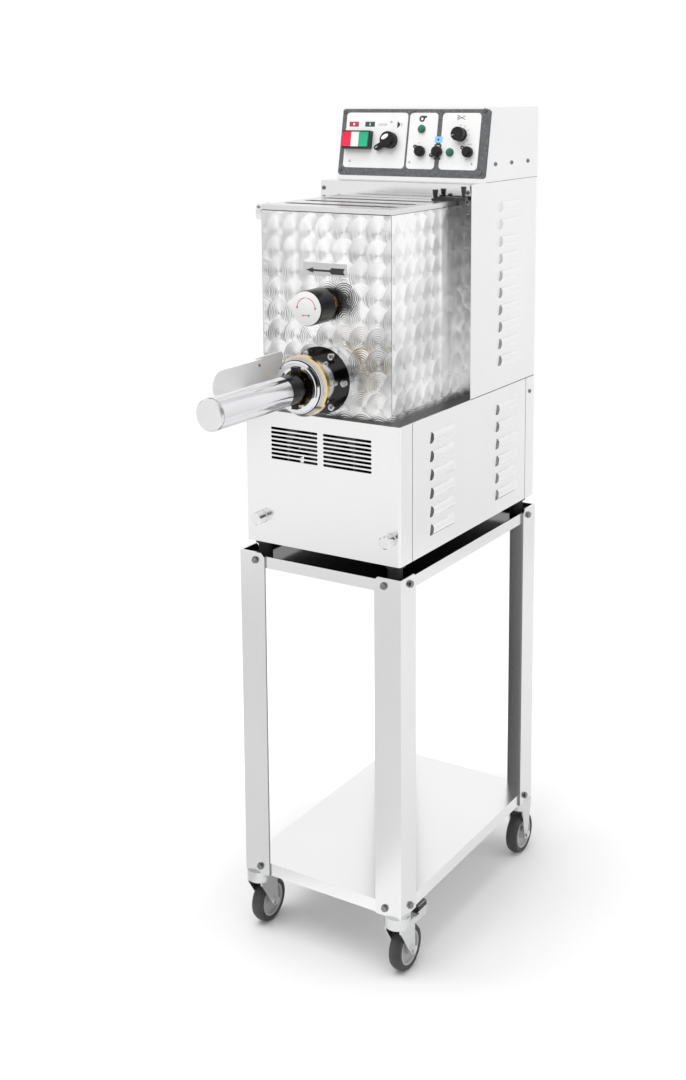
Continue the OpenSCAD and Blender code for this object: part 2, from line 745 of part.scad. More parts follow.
module panel_screws() color("dimgray") machine() {
    for (p = frame_screws) on_panel(p[0], p[1]) translate([0, 0, frame_t + eps]) screw_head();
    both_sides() {
        for (y = [box_y + 32, box_y + 89, box_y + 149]) translate([half_w, y, column_top + 27])
            rotate([0, 90, 0]) screw_head();
        translate([half_w, body_d - 20, base_top - 25]) rotate([0, 90, 0]) screw_head();
        for (i = [0 : 2]) translate([half_w - 6, column_y, column_top - 12 - 15 * i])
            rotate([90, 0, 0]) screw_head();
    }
}

// Hopper

half_hopper = hopper_w / 2;
hinge_pin_x = -half_hopper - 5;
hinge_pin_z = hopper_top + lid_h / 2;
ear_t = 3;
collar_r = 12;
// Gap between the lid and the column, wide enough to pass its screws
lid_gap = 3;

module trough_section(grow) {
    translate([0, mixer_z]) circle(r = trough_r + grow, $fn = 96);
    translate([-trough_r - grow, mixer_z]) square([2 * (trough_r + grow), hopper_top - mixer_z + 1]);
}

module hinge_ear() along_y(0, ear_t) difference() {
    union() {
        translate([hinge_pin_x, hinge_pin_z]) circle(r = 5);
        translate([hinge_pin_x - 5, hopper_top - 10]) square([10, 10 + lid_h / 2]);
        translate([hinge_pin_x, hopper_top - 10]) circle(r = 5);
        translate([hinge_pin_x, hopper_top - 12]) square([5 + eps, 12]);
    }
    translate([hinge_pin_x, hinge_pin_z]) circle(d = hinge_pin_d);
}

knuckle_l = 20;
ear_places = [hopper_y, hopper_y + ear_t + knuckle_l + 1,
    hopper_back - 2 * ear_t - knuckle_l - 1, hopper_back - ear_t];

module hopper_tub() color("lightsteelblue") machine() {
    difference() {
        translate([-half_hopper, hopper_y, base_top])
            cube([hopper_w, hopper_back - hopper_y, hopper_h]);
        // space between the outer walls and the trough
        difference() {
            translate([-half_hopper + hopper_wall, hopper_y + hopper_wall, base_top - 1])
                cube([hopper_w - 2 * hopper_wall, hopper_back - hopper_y - 2 * hopper_wall,
                    hopper_h + 1 - hopper_wall]);
            along_y(hopper_y, hopper_back - hopper_y) intersection() {
                trough_section(hopper_wall);
                translate([-half_hopper, base_top]) square([hopper_w, hopper_h - 1]);
            }
        }
        along_y(hopper_y + hopper_wall, hopper_back - hopper_y - 2 * hopper_wall) trough_section(0);
        rod_y(0, extruder_z, barrel_d / 2 + seat, hopper_y - 1, hopper_back - hopper_y + 2);
        rod_y(0, mixer_z, collar_r, hopper_y - 1, hopper_wall + 2);
        rod_y(0, mixer_z, mixer_bush_r, hopper_back - hopper_wall - 1, hopper_wall + 2);
    }
    for (y = ear_places) translate([0, y, 0]) hinge_ear();
}

module hopper_lid() color("gainsboro") machine() {
    d = hopper_back - hopper_y - lid_gap;
    difference() {
        union() {
            difference() {
                translate([-half_hopper, hopper_y, hopper_top]) cube([hopper_w, d, lid_h]);
                translate([-half_hopper + sheet, hopper_y + sheet, hopper_top - 1])
                    cube([hopper_w - 2 * sheet, d - 2 * sheet, lid_h + 1 - sheet]);
            }
            for (y = [ear_places[0] + ear_t + gap, ear_places[2] + ear_t + gap])
                along_y(y, knuckle_l) {
                    translate([hinge_pin_x, hinge_pin_z]) circle(r = 4);
                    translate([hinge_pin_x, hinge_pin_z]) square([6, 4]);
                }
        }
        for (i = [0 : 2]) translate([0, hopper_y + 42 + 54 * i, hopper_top])
            linear_extrude(lid_h + 1) slot_shape(lid_slot_l, lid_slot_w);
        rod_y(hinge_pin_x, hinge_pin_z, hinge_pin_d / 2 + fit, hopper_y - 1, hopper_back);
    }
}

module hinge_pins() color("#222222") machine() for (y = [ear_places[0], ear_places[2]])
    rod_y(hinge_pin_x, hinge_pin_z, hinge_pin_d / 2, y - 1.5, 2 * ear_t + knuckle_l + 2.5);

lid_arm_y = hopper_back - 13;

module lid_arm() color("#151515") machine() {
    z = hopper_top + lid_h;
    x = half_hopper - 31;
    translate([x - 4, lid_arm_y - 5, z]) cube([14, 10, 3]);
    translate([x + 4, lid_arm_y - 6, z]) cube([50, 9, 6]);
    translate([x, lid_arm_y, z + 3 - eps]) cylinder(d1 = 6, d2 = 9, h = 13);
    translate([x + 11, lid_arm_y - 1.5, z + 6 - eps]) cylinder(d = 7, h = 3, $fn = 6);
    translate([x + 49, lid_arm_y - 1.5, z + 6 - eps]) {
        cylinder(d = 5, h = 5);
        translate([0, 0, 4]) cylinder(d1 = 6, d2 = 8.5, h = 12);
    }
}

module mixer_shaft() color("silver") machine() {
    first = hopper_y + 32;
    pin_step = (hopper_back - 24 - first) / (mixer_pins - 1);
    rod_y(0, mixer_z, spigot_r, hopper_y + 4, 14);
    rod_y(0, mixer_z, mixer_shaft_d / 2, hopper_y + 18 - eps, shaft_end_y - hopper_y - 18);
    for (i = [0 : mixer_pins - 1]) translate([0, first + i * pin_step, mixer_z])
        rotate([0, i * 120 / mixer_pins * 2, 0]) cylinder(r = 4, h = 2 * mixer_reach, center = true);
}

knob_back_y = hopper_y - 9.5;
mixer_knob_l = 40.5;

module mixer_knob() color("#1a1a1a") machine() difference() {
    union() {
        translate([0, knob_back_y, mixer_z]) rotate([90, 0, 0]) rotate_extrude($fn = 72)
            polygon([[0, 0], [mixer_knob_d / 2 - 3, 0], [mixer_knob_d / 2, 3],
                [mixer_knob_d / 2, mixer_knob_l - 2], [mixer_knob_d / 2 - 2, mixer_knob_l],
                [0, mixer_knob_l]]);
        rod_y(0, mixer_z, 8, knob_back_y - eps, hopper_y + 17.5 - knob_back_y);
    }
    rod_y(0, mixer_z, spigot_r + fit, hopper_y + 3, 20);
}

module bush(y, l, r, bore, z) difference() {
    rod_y(0, z, r, y, l);
    rod_y(0, z, bore + fit, y - 1, l + 2);
}

module shaft_bushes() color("#b8893a") machine() {
    bush(hopper_y - 4, 4, 16, 8, mixer_z);
    bush(hopper_y - eps, 4, collar_r, 8, mixer_z);
    bush(hopper_back - hopper_wall - 2, 6 + hopper_wall, mixer_bush_r, mixer_shaft_d / 2, mixer_z);
    bush(hopper_back - 4, 8, barrel_bore / 2, auger_shaft_d / 2, extruder_z);
    bush(bearing_y - 4, bearing_t + 4, mixer_bush_r, mixer_shaft_d / 2, mixer_z);
    bush(bearing_y - 4, bearing_t + 4, auger_bush_r, auger_shaft_d / 2, extruder_z);
}

// Extruder

module extruder_barrel() color("silver") machine() difference() {
    union() {
        rod_y(0, extruder_z, neck_d / 2, neck_y, flange_y - neck_y + eps);
        rod_y(0, extruder_z, flange_d / 2, flange_y, hopper_y - flange_y);
        rod_y(0, extruder_z, barrel_d / 2, hopper_y - eps, hopper_back + 4 - hopper_y);
    }
    rod_y(0, extruder_z, barrel_bore / 2, neck_y - 1, hopper_back + 10 - neck_y);
    rod_y(0, mixer_z, trough_r + hopper_wall, hopper_y + hopper_wall + 0.5,
        hopper_back - hopper_y - 2 * hopper_wall - 1);
}

module flange_bolts() color("silver") machine() for (i = [0 : 5]) rotate_about_axis(i * 60)
    translate([bolt_circle_d / 2, 0, 0]) {
        translate([0, flange_y, 0]) rotate([90, 0, 0]) cylinder(d = 10, h = 8);
    }

module rotate_about_axis(a) translate([0, 0, extruder_z]) rotate([0, a, 0]) children();

flight_y = neck_y + 6;
flight_l = hopper_back - 6 - flight_y;

module auger() color("silver") machine() {
    flight_r = barrel_bore / 2 - 0.4;
    turns = flight_l / auger_pitch;
    translate([0, flight_y + flight_l, extruder_z]) rotate([90, 0, 0])
        linear_extrude(flight_l, twist = -360 * turns, slices = ceil(turns * 14), $fn = 12)
            union() {
                circle(r = 9);
                polygon([for (a = [-32 : 16 : 32]) flight_r * [cos(a), sin(a)], [0, 0]]);
            }
    rod_y(0, extruder_z, auger_shaft_d / 2, flight_y + flight_l - eps,
        shaft_end_y - flight_y - flight_l);
}

module die() color("#8a6a2c") machine() difference() {
    rod_y(0, extruder_z, neck_d / 2 - 2, nut_front_y, neck_y - nut_front_y - eps);
    for (i = [0 : 5]) rotate_about_axis(i * 60) translate([15, nut_front_y - 1, 0])
        rotate([-90, 0, 0]) cylinder(d = 8, h = 10);
    rod_y(0, extruder_z, 5, nut_front_y - 1, 10);
}

module die_ring() color("silver") machine() translate([0, nut_front_y, extruder_z])
    rotate([90, 0, 0]) rotate_extrude($fn = 96) {
        depth = nut_front_y - mouth_y;
        mouth = nut_mouth_d / 2;
        sleeve = neck_d / 2 - 0.4;
        polygon([[mouth, 0], [sleeve, 0], [sleeve, nut_lip], [sleeve + 2.8, nut_lip],
            [sleeve + 2.8, depth - 2], [sleeve, depth - 1], [sleeve - 2, depth - 1],
            [sleeve - 3, depth], [mouth + 3, depth], [mouth, depth - 3]]);
    }

module ring_nut() color("#b8893a") machine() translate([0, nut_back_y, extruder_z])
    rotate([90, 0, 0]) rotate_extrude($fn = 96) {
        depth = nut_back_y - nut_front_y + nut_lip;
        polygon([[neck_d / 2 + fit, 0], [nut_d / 2 - 1, 0], [nut_d / 2, 1], [nut_d / 2, 8],
            [nut_d / 2 - 5, depth], [neck_d / 2 + fit, depth]]);
    }

// Cutter

module cutter_knife() color("dimgray") machine() {
    translate([-knife_w / 2, knife_y, extruder_z - knife_l / 2]) cube([knife_w, 4, knife_l]);
    rod_y(0, extruder_z, 4, knife_y - 20, 20 + eps);
}

motor_r = tube_d / 2 - 2.5;

module cutter_motor() color("#1c1c1c") machine() difference() {
    union() {
        rod_y(0, extruder_z, tube_d / 2 - 0.6, tube_back_y, knife_y - 5 - tube_back_y);
        rod_y(0, extruder_z, motor_r, tube_back_y - tube_l + 42, tube_l - 42 + eps);
    }
    rod_y(0, extruder_z, 4 + fit, knife_y - 22, 30);
}

module cutter_tube() color("silver") machine() difference() {
    union() {
        rod_y(0, extruder_z, tube_d / 2, tube_front_y, tube_l);
        rod_y(0, extruder_z, tube_d / 2 - 1.5, tube_front_y - cap_t, cap_t + 3);
    }
    rod_y(0, extruder_z, motor_r + seat, tube_front_y + 6, tube_l);
    difference() {
        rod_y(0, extruder_z, tube_d / 2 + 1, tube_front_y + 1, 2);
        rod_y(0, extruder_z, tube_d / 2 - 1.5, tube_front_y, 4);
    }
}

saddle_y = tube_back_y - 40;
knuckle_z = guard_z + 7;
knuckle_h = guard_h - 24;
guard_seam_y = -65;
guard_corner = 18;

module cutter_guard() color("gainsboro") machine() {
    // front sheet
    translate([-guard_x, 0, 0]) along_x(-2, 2) difference() {
        translate([-guard_l, guard_z]) square([guard_l + guard_seam_y, guard_h]);
        difference() {
            translate([-guard_l - 1, guard_z - 1]) square([guard_corner + 1, guard_h + 2]);
            for (z = [guard_z + guard_corner, guard_z + guard_h - guard_corner])
                translate([-guard_l + guard_corner, z]) circle(r = guard_corner);
            translate([-guard_l, guard_z + guard_corner])
                square([guard_corner + 1, guard_h - 2 * guard_corner]);
        }
    }
    // rear sheet, lapped behind the front one and reaching the hinge
    translate([-guard_x - 2, 0, 0]) along_x(-2, 2 + eps) {
        translate([guard_seam_y - 12, guard_z]) square([-guard_seam_y, guard_h + 3]);
        translate([-13, knuckle_z]) square([hinge_y + 9, knuckle_h]);
    }
    // hinge knuckle
    difference() {
        translate([hinge_x, hinge_y, knuckle_z]) cylinder(r = 5, h = knuckle_h);
        translate([hinge_x, hinge_y, guard_z]) cylinder(r = guard_pin_r + fit, h = guard_h);
    }
    // saddle that carries the tube
    difference() {
        translate([-guard_x - 2, saddle_y, extruder_z - 14]) cube([guard_x - 4, 30, 16]);
        rod_y(0, extruder_z, tube_d / 2 + eps, saddle_y - 1, 32);
    }
}

module cutter_hinge() color("silver") machine() {
    z0 = guard_z - 2;
    eye_h = knuckle_z - z0 - gap;
    h = 2 * (eye_h + gap) + knuckle_h;
    translate([hinge_x - 12, hopper_y - 3, z0]) cube([15, 3, h]);
    for (z = [z0, z0 + h - eye_h]) translate([0, 0, z]) linear_extrude(eye_h) {
        translate([hinge_x, hinge_y]) circle(r = 5);
        translate([hinge_x - 5, hinge_y]) square([8, hopper_y - 3 - hinge_y + eps]);
    }
    translate([hinge_x, hinge_y, z0 - 1]) cylinder(r = guard_pin_r, h = h + 2);
}

// Drive

pressure = 20;

// Angle between radius and involute at radius r, in degrees
function involute(r, base_r) =
    let (a = acos(min(1, base_r / r))) tan(a) * 180 / PI - a;

// Half angle of a tooth at radius r
function tooth_half(teeth, r) =
    let (pitch_r = gear_module * teeth / 2, base_r = pitch_r * cos(pressure))
    90 / teeth - gear_play / 2 / pitch_r * 180 / PI
        + involute(pitch_r, base_r) - involute(max(r, base_r), base_r);

module gear_shape(teeth) {
    pitch_r = gear_module * teeth / 2;
    base_r = pitch_r * cos(pressure);
    root_r = pitch_r - 1.25 * gear_module;
    tip_r = pitch_r + gear_module;
    start = max(base_r, root_r);
    radii = [root_r, start + (tip_r - start) * 0.1, (start + tip_r) / 2, tip_r];
    rising = [for (i = [0 : 3]) [radii[i], -tooth_half(teeth, radii[i])]];
    falling = [for (i = [3 : -1 : 0]) [radii[i], tooth_half(teeth, radii[i])]];
    polygon([for (k = [0 : teeth - 1], p = concat(rising, falling))
        let (a = k * 360 / teeth + p[1]) p[0] * [cos(a), sin(a)]]);
}

module spur_gear(teeth, z, turn, hub_r, bore_r) difference() {
    union() {
        translate([0, 0, z]) along_y(gear_y, gear_w) rotate(turn) gear_shape(teeth);
        rod_y(0, z, hub_r, gear_y - 3, gear_w + 6);
    }
    rod_y(0, z, bore_r, gear_y - 4, gear_w + 8);
}

module auger_gear() color("#777777") machine()
    spur_gear(auger_teeth, extruder_z, 90, 16, auger_shaft_d / 2 + eps);
module mixer_gear() color("#777777") machine()
    spur_gear(mixer_teeth, mixer_z, -90 + 180 / mixer_teeth, 16, mixer_shaft_d / 2 + eps);

module motor_pinion() color("#999999") machine() {
    translate([0, 0, motor_z]) along_y(gear_y, gear_w)
        rotate(90 + 180 / pinion_teeth) gear_shape(pinion_teeth);
    rod_y(0, motor_z, 7, gear_y + gear_w - eps, motor_y + 30 - gear_y - gear_w);
}

module drive_motor() color("#4a5a6a") machine() difference() {
    union() {
        rod_y(0, motor_z, motor_d / 2, motor_y, 8);
        rod_y(0, motor_z, motor_d / 2 - 6, motor_y + 8 - eps, motor_l - 8);
    }
    rod_y(0, motor_z, 7 + fit, motor_y - 1, 34);
}

fan_w = 119;
fan_d = 25;
fan_z = base_top - plate_t - 2 - fan_w / 2;

module fan_frame() color("#2a2a2a") machine() {
    difference() {
        translate([-fan_w / 2, sheet, fan_z - fan_w / 2]) cube([fan_w, fan_d, fan_w]);
        rod_y(0, fan_z, 56, sheet - 1, fan_d + 2);
    }
    difference() {
        union() {
            rod_y(0, fan_z, 18, sheet + fan_d - 5, 5);
            for (a = [45, -45]) translate([0, sheet + fan_d - 3, fan_z]) rotate([0, a, 0])
                cube([114, 4, 6], center = true);
        }
        rod_y(0, fan_z, 3 + fit, sheet + fan_d - 8, 10);
    }
}

module fan_rotor() color("#333333") machine() {
    blades = 7;
    rod_y(0, fan_z, 18, sheet + 3, fan_d - 9);
    rod_y(0, fan_z, 3, sheet + fan_d - 6 - eps, 5);
    for (i = [0 : blades - 1]) translate([0, sheet + 10, fan_z]) rotate([0, i * 360 / blades, 0])
        translate([34, 0, 0]) rotate([40, 0, 0]) cube([36, 1.5, 16], center = true);
}

stand_legs();
top_rails();
shelf();
stand_bolts();
rubber_feet();
caster_mounts();
fork_front_left();
fork_front_right();
fork_rear_left();
fork_rear_right();
wheel_front_left();
wheel_front_right();
wheel_rear_left();
wheel_rear_right();
brake_pedal();
chassis();
front_panel();
side_panels();
rear_panel();
panel_knob_left();
panel_knob_right();
column_front();
column_casing();
control_box();
panel_frame();
switch_body();
stop_button();
start_button();
main_selector();
speed_dial();
fan_knob();
drive_knob();
cutter_knob();
pilot_lamps();
panel_screws();
hopper_tub();
hopper_lid();
lid_arm();
hinge_pins();
mixer_shaft();
mixer_knob();
shaft_bushes();
extruder_barrel();
flange_bolts();
auger();
die();
die_ring();
ring_nut();
cutter_tube();
cutter_motor();
cutter_knife();
cutter_guard();
cutter_hinge();
drive_motor();
motor_pinion();
auger_gear();
mixer_gear();
fan_frame();
fan_rotor();
cord_gland();
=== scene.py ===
import json
import math

import bmesh
import bpy
from mathutils import Matrix, Vector


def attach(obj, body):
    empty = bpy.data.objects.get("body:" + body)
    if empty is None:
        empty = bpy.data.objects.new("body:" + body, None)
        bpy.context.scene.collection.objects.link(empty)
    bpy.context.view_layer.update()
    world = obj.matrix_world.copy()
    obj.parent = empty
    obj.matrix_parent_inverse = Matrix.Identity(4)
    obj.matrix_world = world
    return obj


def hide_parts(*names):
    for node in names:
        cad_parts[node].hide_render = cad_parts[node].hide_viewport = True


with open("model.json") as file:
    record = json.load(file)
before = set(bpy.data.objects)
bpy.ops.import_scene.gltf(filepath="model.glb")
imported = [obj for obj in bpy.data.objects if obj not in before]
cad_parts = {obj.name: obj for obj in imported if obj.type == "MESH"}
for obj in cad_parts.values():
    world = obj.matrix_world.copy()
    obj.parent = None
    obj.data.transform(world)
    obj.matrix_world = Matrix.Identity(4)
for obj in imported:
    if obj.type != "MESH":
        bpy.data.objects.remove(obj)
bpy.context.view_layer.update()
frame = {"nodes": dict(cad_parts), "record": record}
nodes = frame["nodes"]
print("frame loaded with", len(nodes), "nodes")

mm = 0.001
cabinetY = -100.5  # the cabinet's front in the row frame, in mm
hopperFront = 17.5  # the hopper's front behind the cabinet's


class Value:
    # One output socket; sums and products of values add Math nodes

    def __init__(self, net, socket):
        self.net, self.socket = net, socket

    def math(self, operation, *terms):
        return self.net.node("Math", {"operation": operation}, {i: t for i, t in enumerate(terms)})

    def __add__(self, other): return self.math("ADD", self, other)
    def __radd__(self, other): return self.math("ADD", other, self)
    def __sub__(self, other): return self.math("SUBTRACT", self, other)
    def __rsub__(self, other): return self.math("SUBTRACT", other, self)
    def __mul__(self, other): return self.math("MULTIPLY", self, other)
    def __rmul__(self, other): return self.math("MULTIPLY", other, self)
    def __truediv__(self, other): return self.math("DIVIDE", self, other)
    def __gt__(self, other): return self.math("GREATER_THAN", self, other)
    def __lt__(self, other): return self.math("LESS_THAN", self, other)


class Net:
    # A node tree that is written as expressions

    def __init__(self, tree):
        self.tree = tree

    def node(self, kind, settings=None, inputs=None, out=0):
        made = self.tree.nodes.new("ShaderNode" + kind)
        for key, setting in (settings or {}).items():
            if key == "stops":
                ramp = made.color_ramp
                while len(ramp.elements) < len(setting):
                    ramp.elements.new(0.5)
                for element, (place, colour) in zip(ramp.elements, setting):
                    element.position, element.color = place, colour
            else:
                setattr(made, key, setting)
        for key, term in (inputs or {}).items():
            if isinstance(term, Value):
                self.tree.links.new(term.socket, made.inputs[key])
            else:
                made.inputs[key].default_value = term
        return Value(self, made.outputs[out])

    def place(self, scale=(1, 1, 1), turn=(0, 0, 0)):
        coords = self.node("TexCoord", out="Object")
        return self.node("Mapping", {}, {"Vector": coords, "Scale": scale, "Rotation": turn})

    def noise(self, where, scale, detail=2, rough=0.5):
        return self.node("TexNoise", {}, {"Vector": where, "Scale": scale, "Detail": detail,
                                          "Roughness": rough}, "Fac")

    def span(self, value, low, high, fromLow=0.0, fromHigh=1.0):
        return self.node("MapRange", {"clamp": True}, {
            "Value": value, "From Min": fromLow, "From Max": fromHigh,
            "To Min": low, "To Max": high})

    def blend(self, share, first, second):
        return self.node("Mix", {"data_type": "RGBA"}, {"Factor": share, 6: first, 7: second}, 2)

    def grey(self, value):
        return self.node("CombineColor", {}, {"Red": value, "Green": value, "Blue": value})

    def tint(self, colour, shade):
        # The colour, darkened by a number
        return self.node("Mix", {"data_type": "RGBA", "blend_type": "MULTIPLY"},
                         {"Factor": 1.0, 6: colour, 7: self.grey(shade)}, 2)

    def bump(self, height, strength, distance, normal=None):
        inputs = {"Height": height, "Strength": strength, "Distance": distance}
        if normal is not None:
            inputs["Normal"] = normal
        return self.node("Bump", {}, inputs)


def rgba(colour):
    return (colour[0], colour[1], colour[2], 1.0)


def startFinish(name, metallic=0.0, roughness=0.5, coat=0.0, ior=1.5):
    material = bpy.data.materials.new(name)
    material.use_nodes = True
    shader = material.node_tree.nodes["Principled BSDF"]
    shader.inputs["Metallic"].default_value = metallic
    shader.inputs["Roughness"].default_value = roughness
    shader.inputs["Coat Weight"].default_value = coat
    shader.inputs["IOR"].default_value = ior
    net = Net(material.node_tree)
    return material, net, shader


def feed(net, shader, **sockets):
    names = {"colour": "Base Color", "roughness": "Roughness", "normal": "Normal"}
    for key, value in sockets.items():
        net.tree.links.new(value.socket, shader.inputs[names[key]])


def brushedSteel(name, colour, grain, rough, tone=0.06, polish=0.02, metallic=1.0, faces=None):
    # grain is the direction of brushing: 0 across, 1 along the depth, 2 upright;
    # faces(net) gives a share, a painted shade tone and a polish for faces darkened as painted
    # shade or painted reflection
    material, net, shader = startFinish(name, metallic=metallic)
    stretch = [900, 900, 900]
    stretch[grain] = 14
    fine = net.noise(net.place(stretch), 1.0, 3, 0.6)
    broad = net.noise(net.place((1, 1, 1)), 3.2, 2, 0.5)
    shade = net.span(broad, 1 - tone, 1.0, 0.3, 0.7) * net.span(fine, 0.97, 1.02)
    gloss = net.span(fine, rough - 0.05, rough + 0.07) + net.span(broad, -polish, polish)
    if faces:
        share, paintedShadeTone, otherGloss = faces(net)
        # Painted shade: the faces that faces(net) picks are darkened to stand for shade and dark
        # reflections
        shade = shade * (1 - share * (1 - paintedShadeTone))
        gloss = gloss * (1 - share) + share * otherGloss
    feed(net, shader,
         colour=net.tint(rgba(colour), shade),
         roughness=gloss, normal=net.bump(fine, 0.10, 0.0002))
    return material


def axes(net, name):
    # The three parts of the place or the true normal, which don't change with the view
    source = net.node("TexCoord", out="Object") if name == "place" else \
        net.node("NewGeometry", out="True Normal")
    return [net.node("SeparateXYZ", {}, {0: source}, axis) for axis in range(3)]


def innerFaces(net):
    # Darkens the legs' inner sides, in place of what they would mirror
    (x, y, z), (nx, ny) = axes(net, "place"), axes(net, "normal")[:2]
    return (x * nx + y * ny) < -0.02, 0.26 + z * 0.12, 0.16


def upperFaces(net):
    # Darkens upward faces, in place of the shade under the cabinet
    return axes(net, "normal")[2] > 0.7, 0.08, 0.1


def flangeFace(net):
    # Darkens the flange's front, in place of what it would mirror
    return axes(net, "normal")[1] < -0.7, 0.06, 0.12


def nutMetal(name, style):
    # Brass with a bright front collar; its grooves are dark lines painted in colour only, as
    # painted shade
    material, net, shader = startFinish(name, metallic=1.0)
    y = axes(net, "place")[1]
    smear = net.noise(net.place((1, 1, 1)), 26.0, 3, 0.55)
    front = y < style["collarY"]
    step = y / style["pitch"]
    # Painted shade: near-black groove lines on the front collar
    groove = (step - step.math("FLOOR", step) < style["groove"]) * front
    metal = net.blend(front, rgba(style["brass"]), rgba(style["chrome"]))
    shade = net.span(smear, 0.94, 1.0, 0.3, 0.7) * (1 - groove * 0.95)
    feed(net, shader,
         colour=net.tint(metal, shade),
         roughness=net.span(smear, 0.07, 0.13), normal=net.bump(smear, 0.03, 0.0002))
    return material


def engineTurned(name, style):
    # Overlapping round spots ground in rows: each later spot covers part of those before it
    material, net, shader = startFinish(name, metallic=1.0)
    coords = net.node("TexCoord", out="Object")
    x, y, z = (net.node("SeparateXYZ", {}, {0: coords}, axis) for axis in range(3))
    facing = net.node("NewGeometry", out="Normal")
    sideways = net.node("Math", {"operation": "ABSOLUTE"},
                        {0: net.node("SeparateXYZ", {}, {0: facing}, 0)}) > 0.5
    across = (x * (1 - sideways) + y * sideways) / style["pitch"] + style["start"]
    up = z / style["rise"]
    column, row = across.math("FLOOR", across), up.math("FLOOR", up)
    fu, fv = across - column - 0.5, up - row - 0.5
    reach = style["reach"]

    def inSpot(du, dv):
        return (du * du + dv * dv).math("SQRT", du * du + dv * dv) < reach

    right = inSpot(fu - 1.0, fv)
    below = inSpot(fu, fv + 1.0)
    du = fu - right * (1 - below)
    dv = fv + below
    spot = column + right * (1 - below) + (row - below) * 7.3
    radius = (du * du + dv * dv).math("SQRT", du * du + dv * dv)
    ru, rv = du / (radius + 0.001), dv / (radius + 0.001)
    rings = (radius * style["rings"] + spot).math("SINE", radius * style["rings"] + spot)
    scratch = net.node("TexNoise", {"noise_dimensions": "1D"},
                       {"W": radius * 46 + spot * 3.7, "Scale": 1.0, "Detail": 2.0}, "Fac")
    tilt = rings * style["tilt"] + (scratch - 0.5) * style["scratch"]
    lean = net.node("CombineXYZ", {}, {0: ru * (1 - sideways) * tilt, 1: ru * sideways * tilt,
                                       2: rv * tilt})
    outside = net.node("Math", {"operation": "MAXIMUM"}, {
        0: (y < style["frontY"]) * (1 - sideways),
        1: (net.node("Math", {"operation": "ABSOLUTE"}, {0: x}) > style["sideX"]) * sideways})
    lean = net.node("VectorMath", {"operation": "SCALE"}, {0: lean, "Scale": outside})
    normal = net.node("VectorMath", {"operation": "NORMALIZE"}, {
        0: net.node("VectorMath", {"operation": "ADD"}, {0: facing, 1: lean})})
    # Painted sheen: each spot is lighter and darker in a fan and bow-tie by direction from its
    # centre, standing for its brushed highlights
    fan = ru * rv * style["fan"] + (rv * rv - ru * ru) * style["bow"]
    # Painted reflection: the broad grey blotches of the patch noise stand for reflected
    # surroundings
    patch = net.noise(net.place((1, 1, 0.6)), 8.0, 3, 0.55)
    tone = net.node("TexWhiteNoise", {"noise_dimensions": "1D"}, {"W": spot}, "Value")
    shade = 1 + (fan + (tone - 0.5) * style["spread"] + (patch - 0.5) * style["patch"]) * outside
    rim = net.span(radius, 1.0, style["rim"], reach - 0.06, reach)
    shade = shade * (1 - outside + outside * rim)
    feed(net, shader,
         colour=net.tint(rgba(style["colour"]), shade),
         roughness=net.span(scratch, style["rough"] - 0.04, style["rough"] + 0.08),
         normal=normal)
    return material


def turnedMetal(name, colour, rough, grooves=0.0, tone=0.05):
    # Lathe-turned about an axis along y, with faint tool rings
    material, net, shader = startFinish(name, metallic=1.0)
    coords = net.node("TexCoord", out="Object")
    y = net.node("SeparateXYZ", {}, {0: coords}, 1)
    smear = net.noise(net.place((1, 1, 1)), 26.0, 3, 0.55)
    ring = net.node("TexNoise", {"noise_dimensions": "1D"},
                    {"W": y * 2200, "Scale": 1.0, "Detail": 2.0}, "Fac")
    shade = net.span(smear, 1 - tone, 1.0, 0.3, 0.7)
    feed(net, shader,
         colour=net.tint(rgba(colour), shade),
         roughness=net.span(smear, rough - 0.02, rough + 0.05),
         normal=net.bump(ring, 0.06 + grooves, 0.0002))
    return material


def moulded(name, colour, rough, grain=900.0, strength=0.05, coat=0.0, lift=0.25, ior=1.5):
    # Plastic or rubber with a fine moulded grain and slight wear
    material, net, shader = startFinish(name, coat=coat, ior=ior)
    fine = net.noise(net.place((1, 1, 1)), grain, 2, 0.5)
    worn = net.noise(net.place((1, 1, 1)), 38.0, 3, 0.6)
    lighter = [c + (1 - c) * lift * 0.12 for c in colour]
    feed(net, shader,
         colour=net.blend(net.span(worn, 0.0, 1.0, 0.35, 0.75), rgba(colour), rgba(lighter)),
         roughness=net.span(worn, rough - 0.04, rough + 0.10),
         normal=net.bump(fine, strength, 0.0002))
    return material


def speckled(name, dark, pale, rough):
    # Dark hammered coating with a pale fleck
    material, net, shader = startFinish(name, coat=0.2)
    fleck = net.node("TexVoronoi", {"feature": "F1"}, {"Vector": net.place((1, 1, 1)),
                                                         "Scale": 620.0}, "Distance")
    cloud = net.noise(net.place((1, 1, 1)), 300.0, 3, 0.7)
    share = net.span(cloud, 0.0, 0.9, 0.42, 0.66) * net.span(fleck, 1.0, 0.2, 0.1, 0.7)
    feed(net, shader, colour=net.blend(share, rgba(dark), rgba(pale)),
         roughness=net.span(cloud, rough - 0.08, rough + 0.12),
         normal=net.bump(cloud, 0.25, 0.0003))
    return material


def lacquer(name, colour, rough=0.3, coat=0.3, tone=0.05):
    # Printed or painted colour with a faint unevenness
    material, net, shader = startFinish(name, coat=coat)
    cloud = net.noise(net.place((1, 1, 1)), 60.0, 3, 0.5)
    feed(net, shader,
         colour=net.tint(rgba(colour), net.span(cloud, 1 - tone, 1.0, 0.3, 0.7)),
         roughness=net.span(cloud, rough - 0.05, rough + 0.05),
         normal=net.bump(cloud, 0.03, 0.0003))
    return material


spots = {"pitch": 0.0285, "rise": 0.0315, "start": 0.35, "reach": 0.74, "rings": 60.0,
         "tilt": 0.14, "scratch": 0.5, "fan": 0.16, "bow": 0.08, "spread": 0.20, "patch": 1.3,
         "rim": 0.96, "rough": 0.17, "colour": (0.84, 0.84, 0.845),
         "frontY": (cabinetY + hopperFront + 0.6) * mm, "sideX": 0.1109}

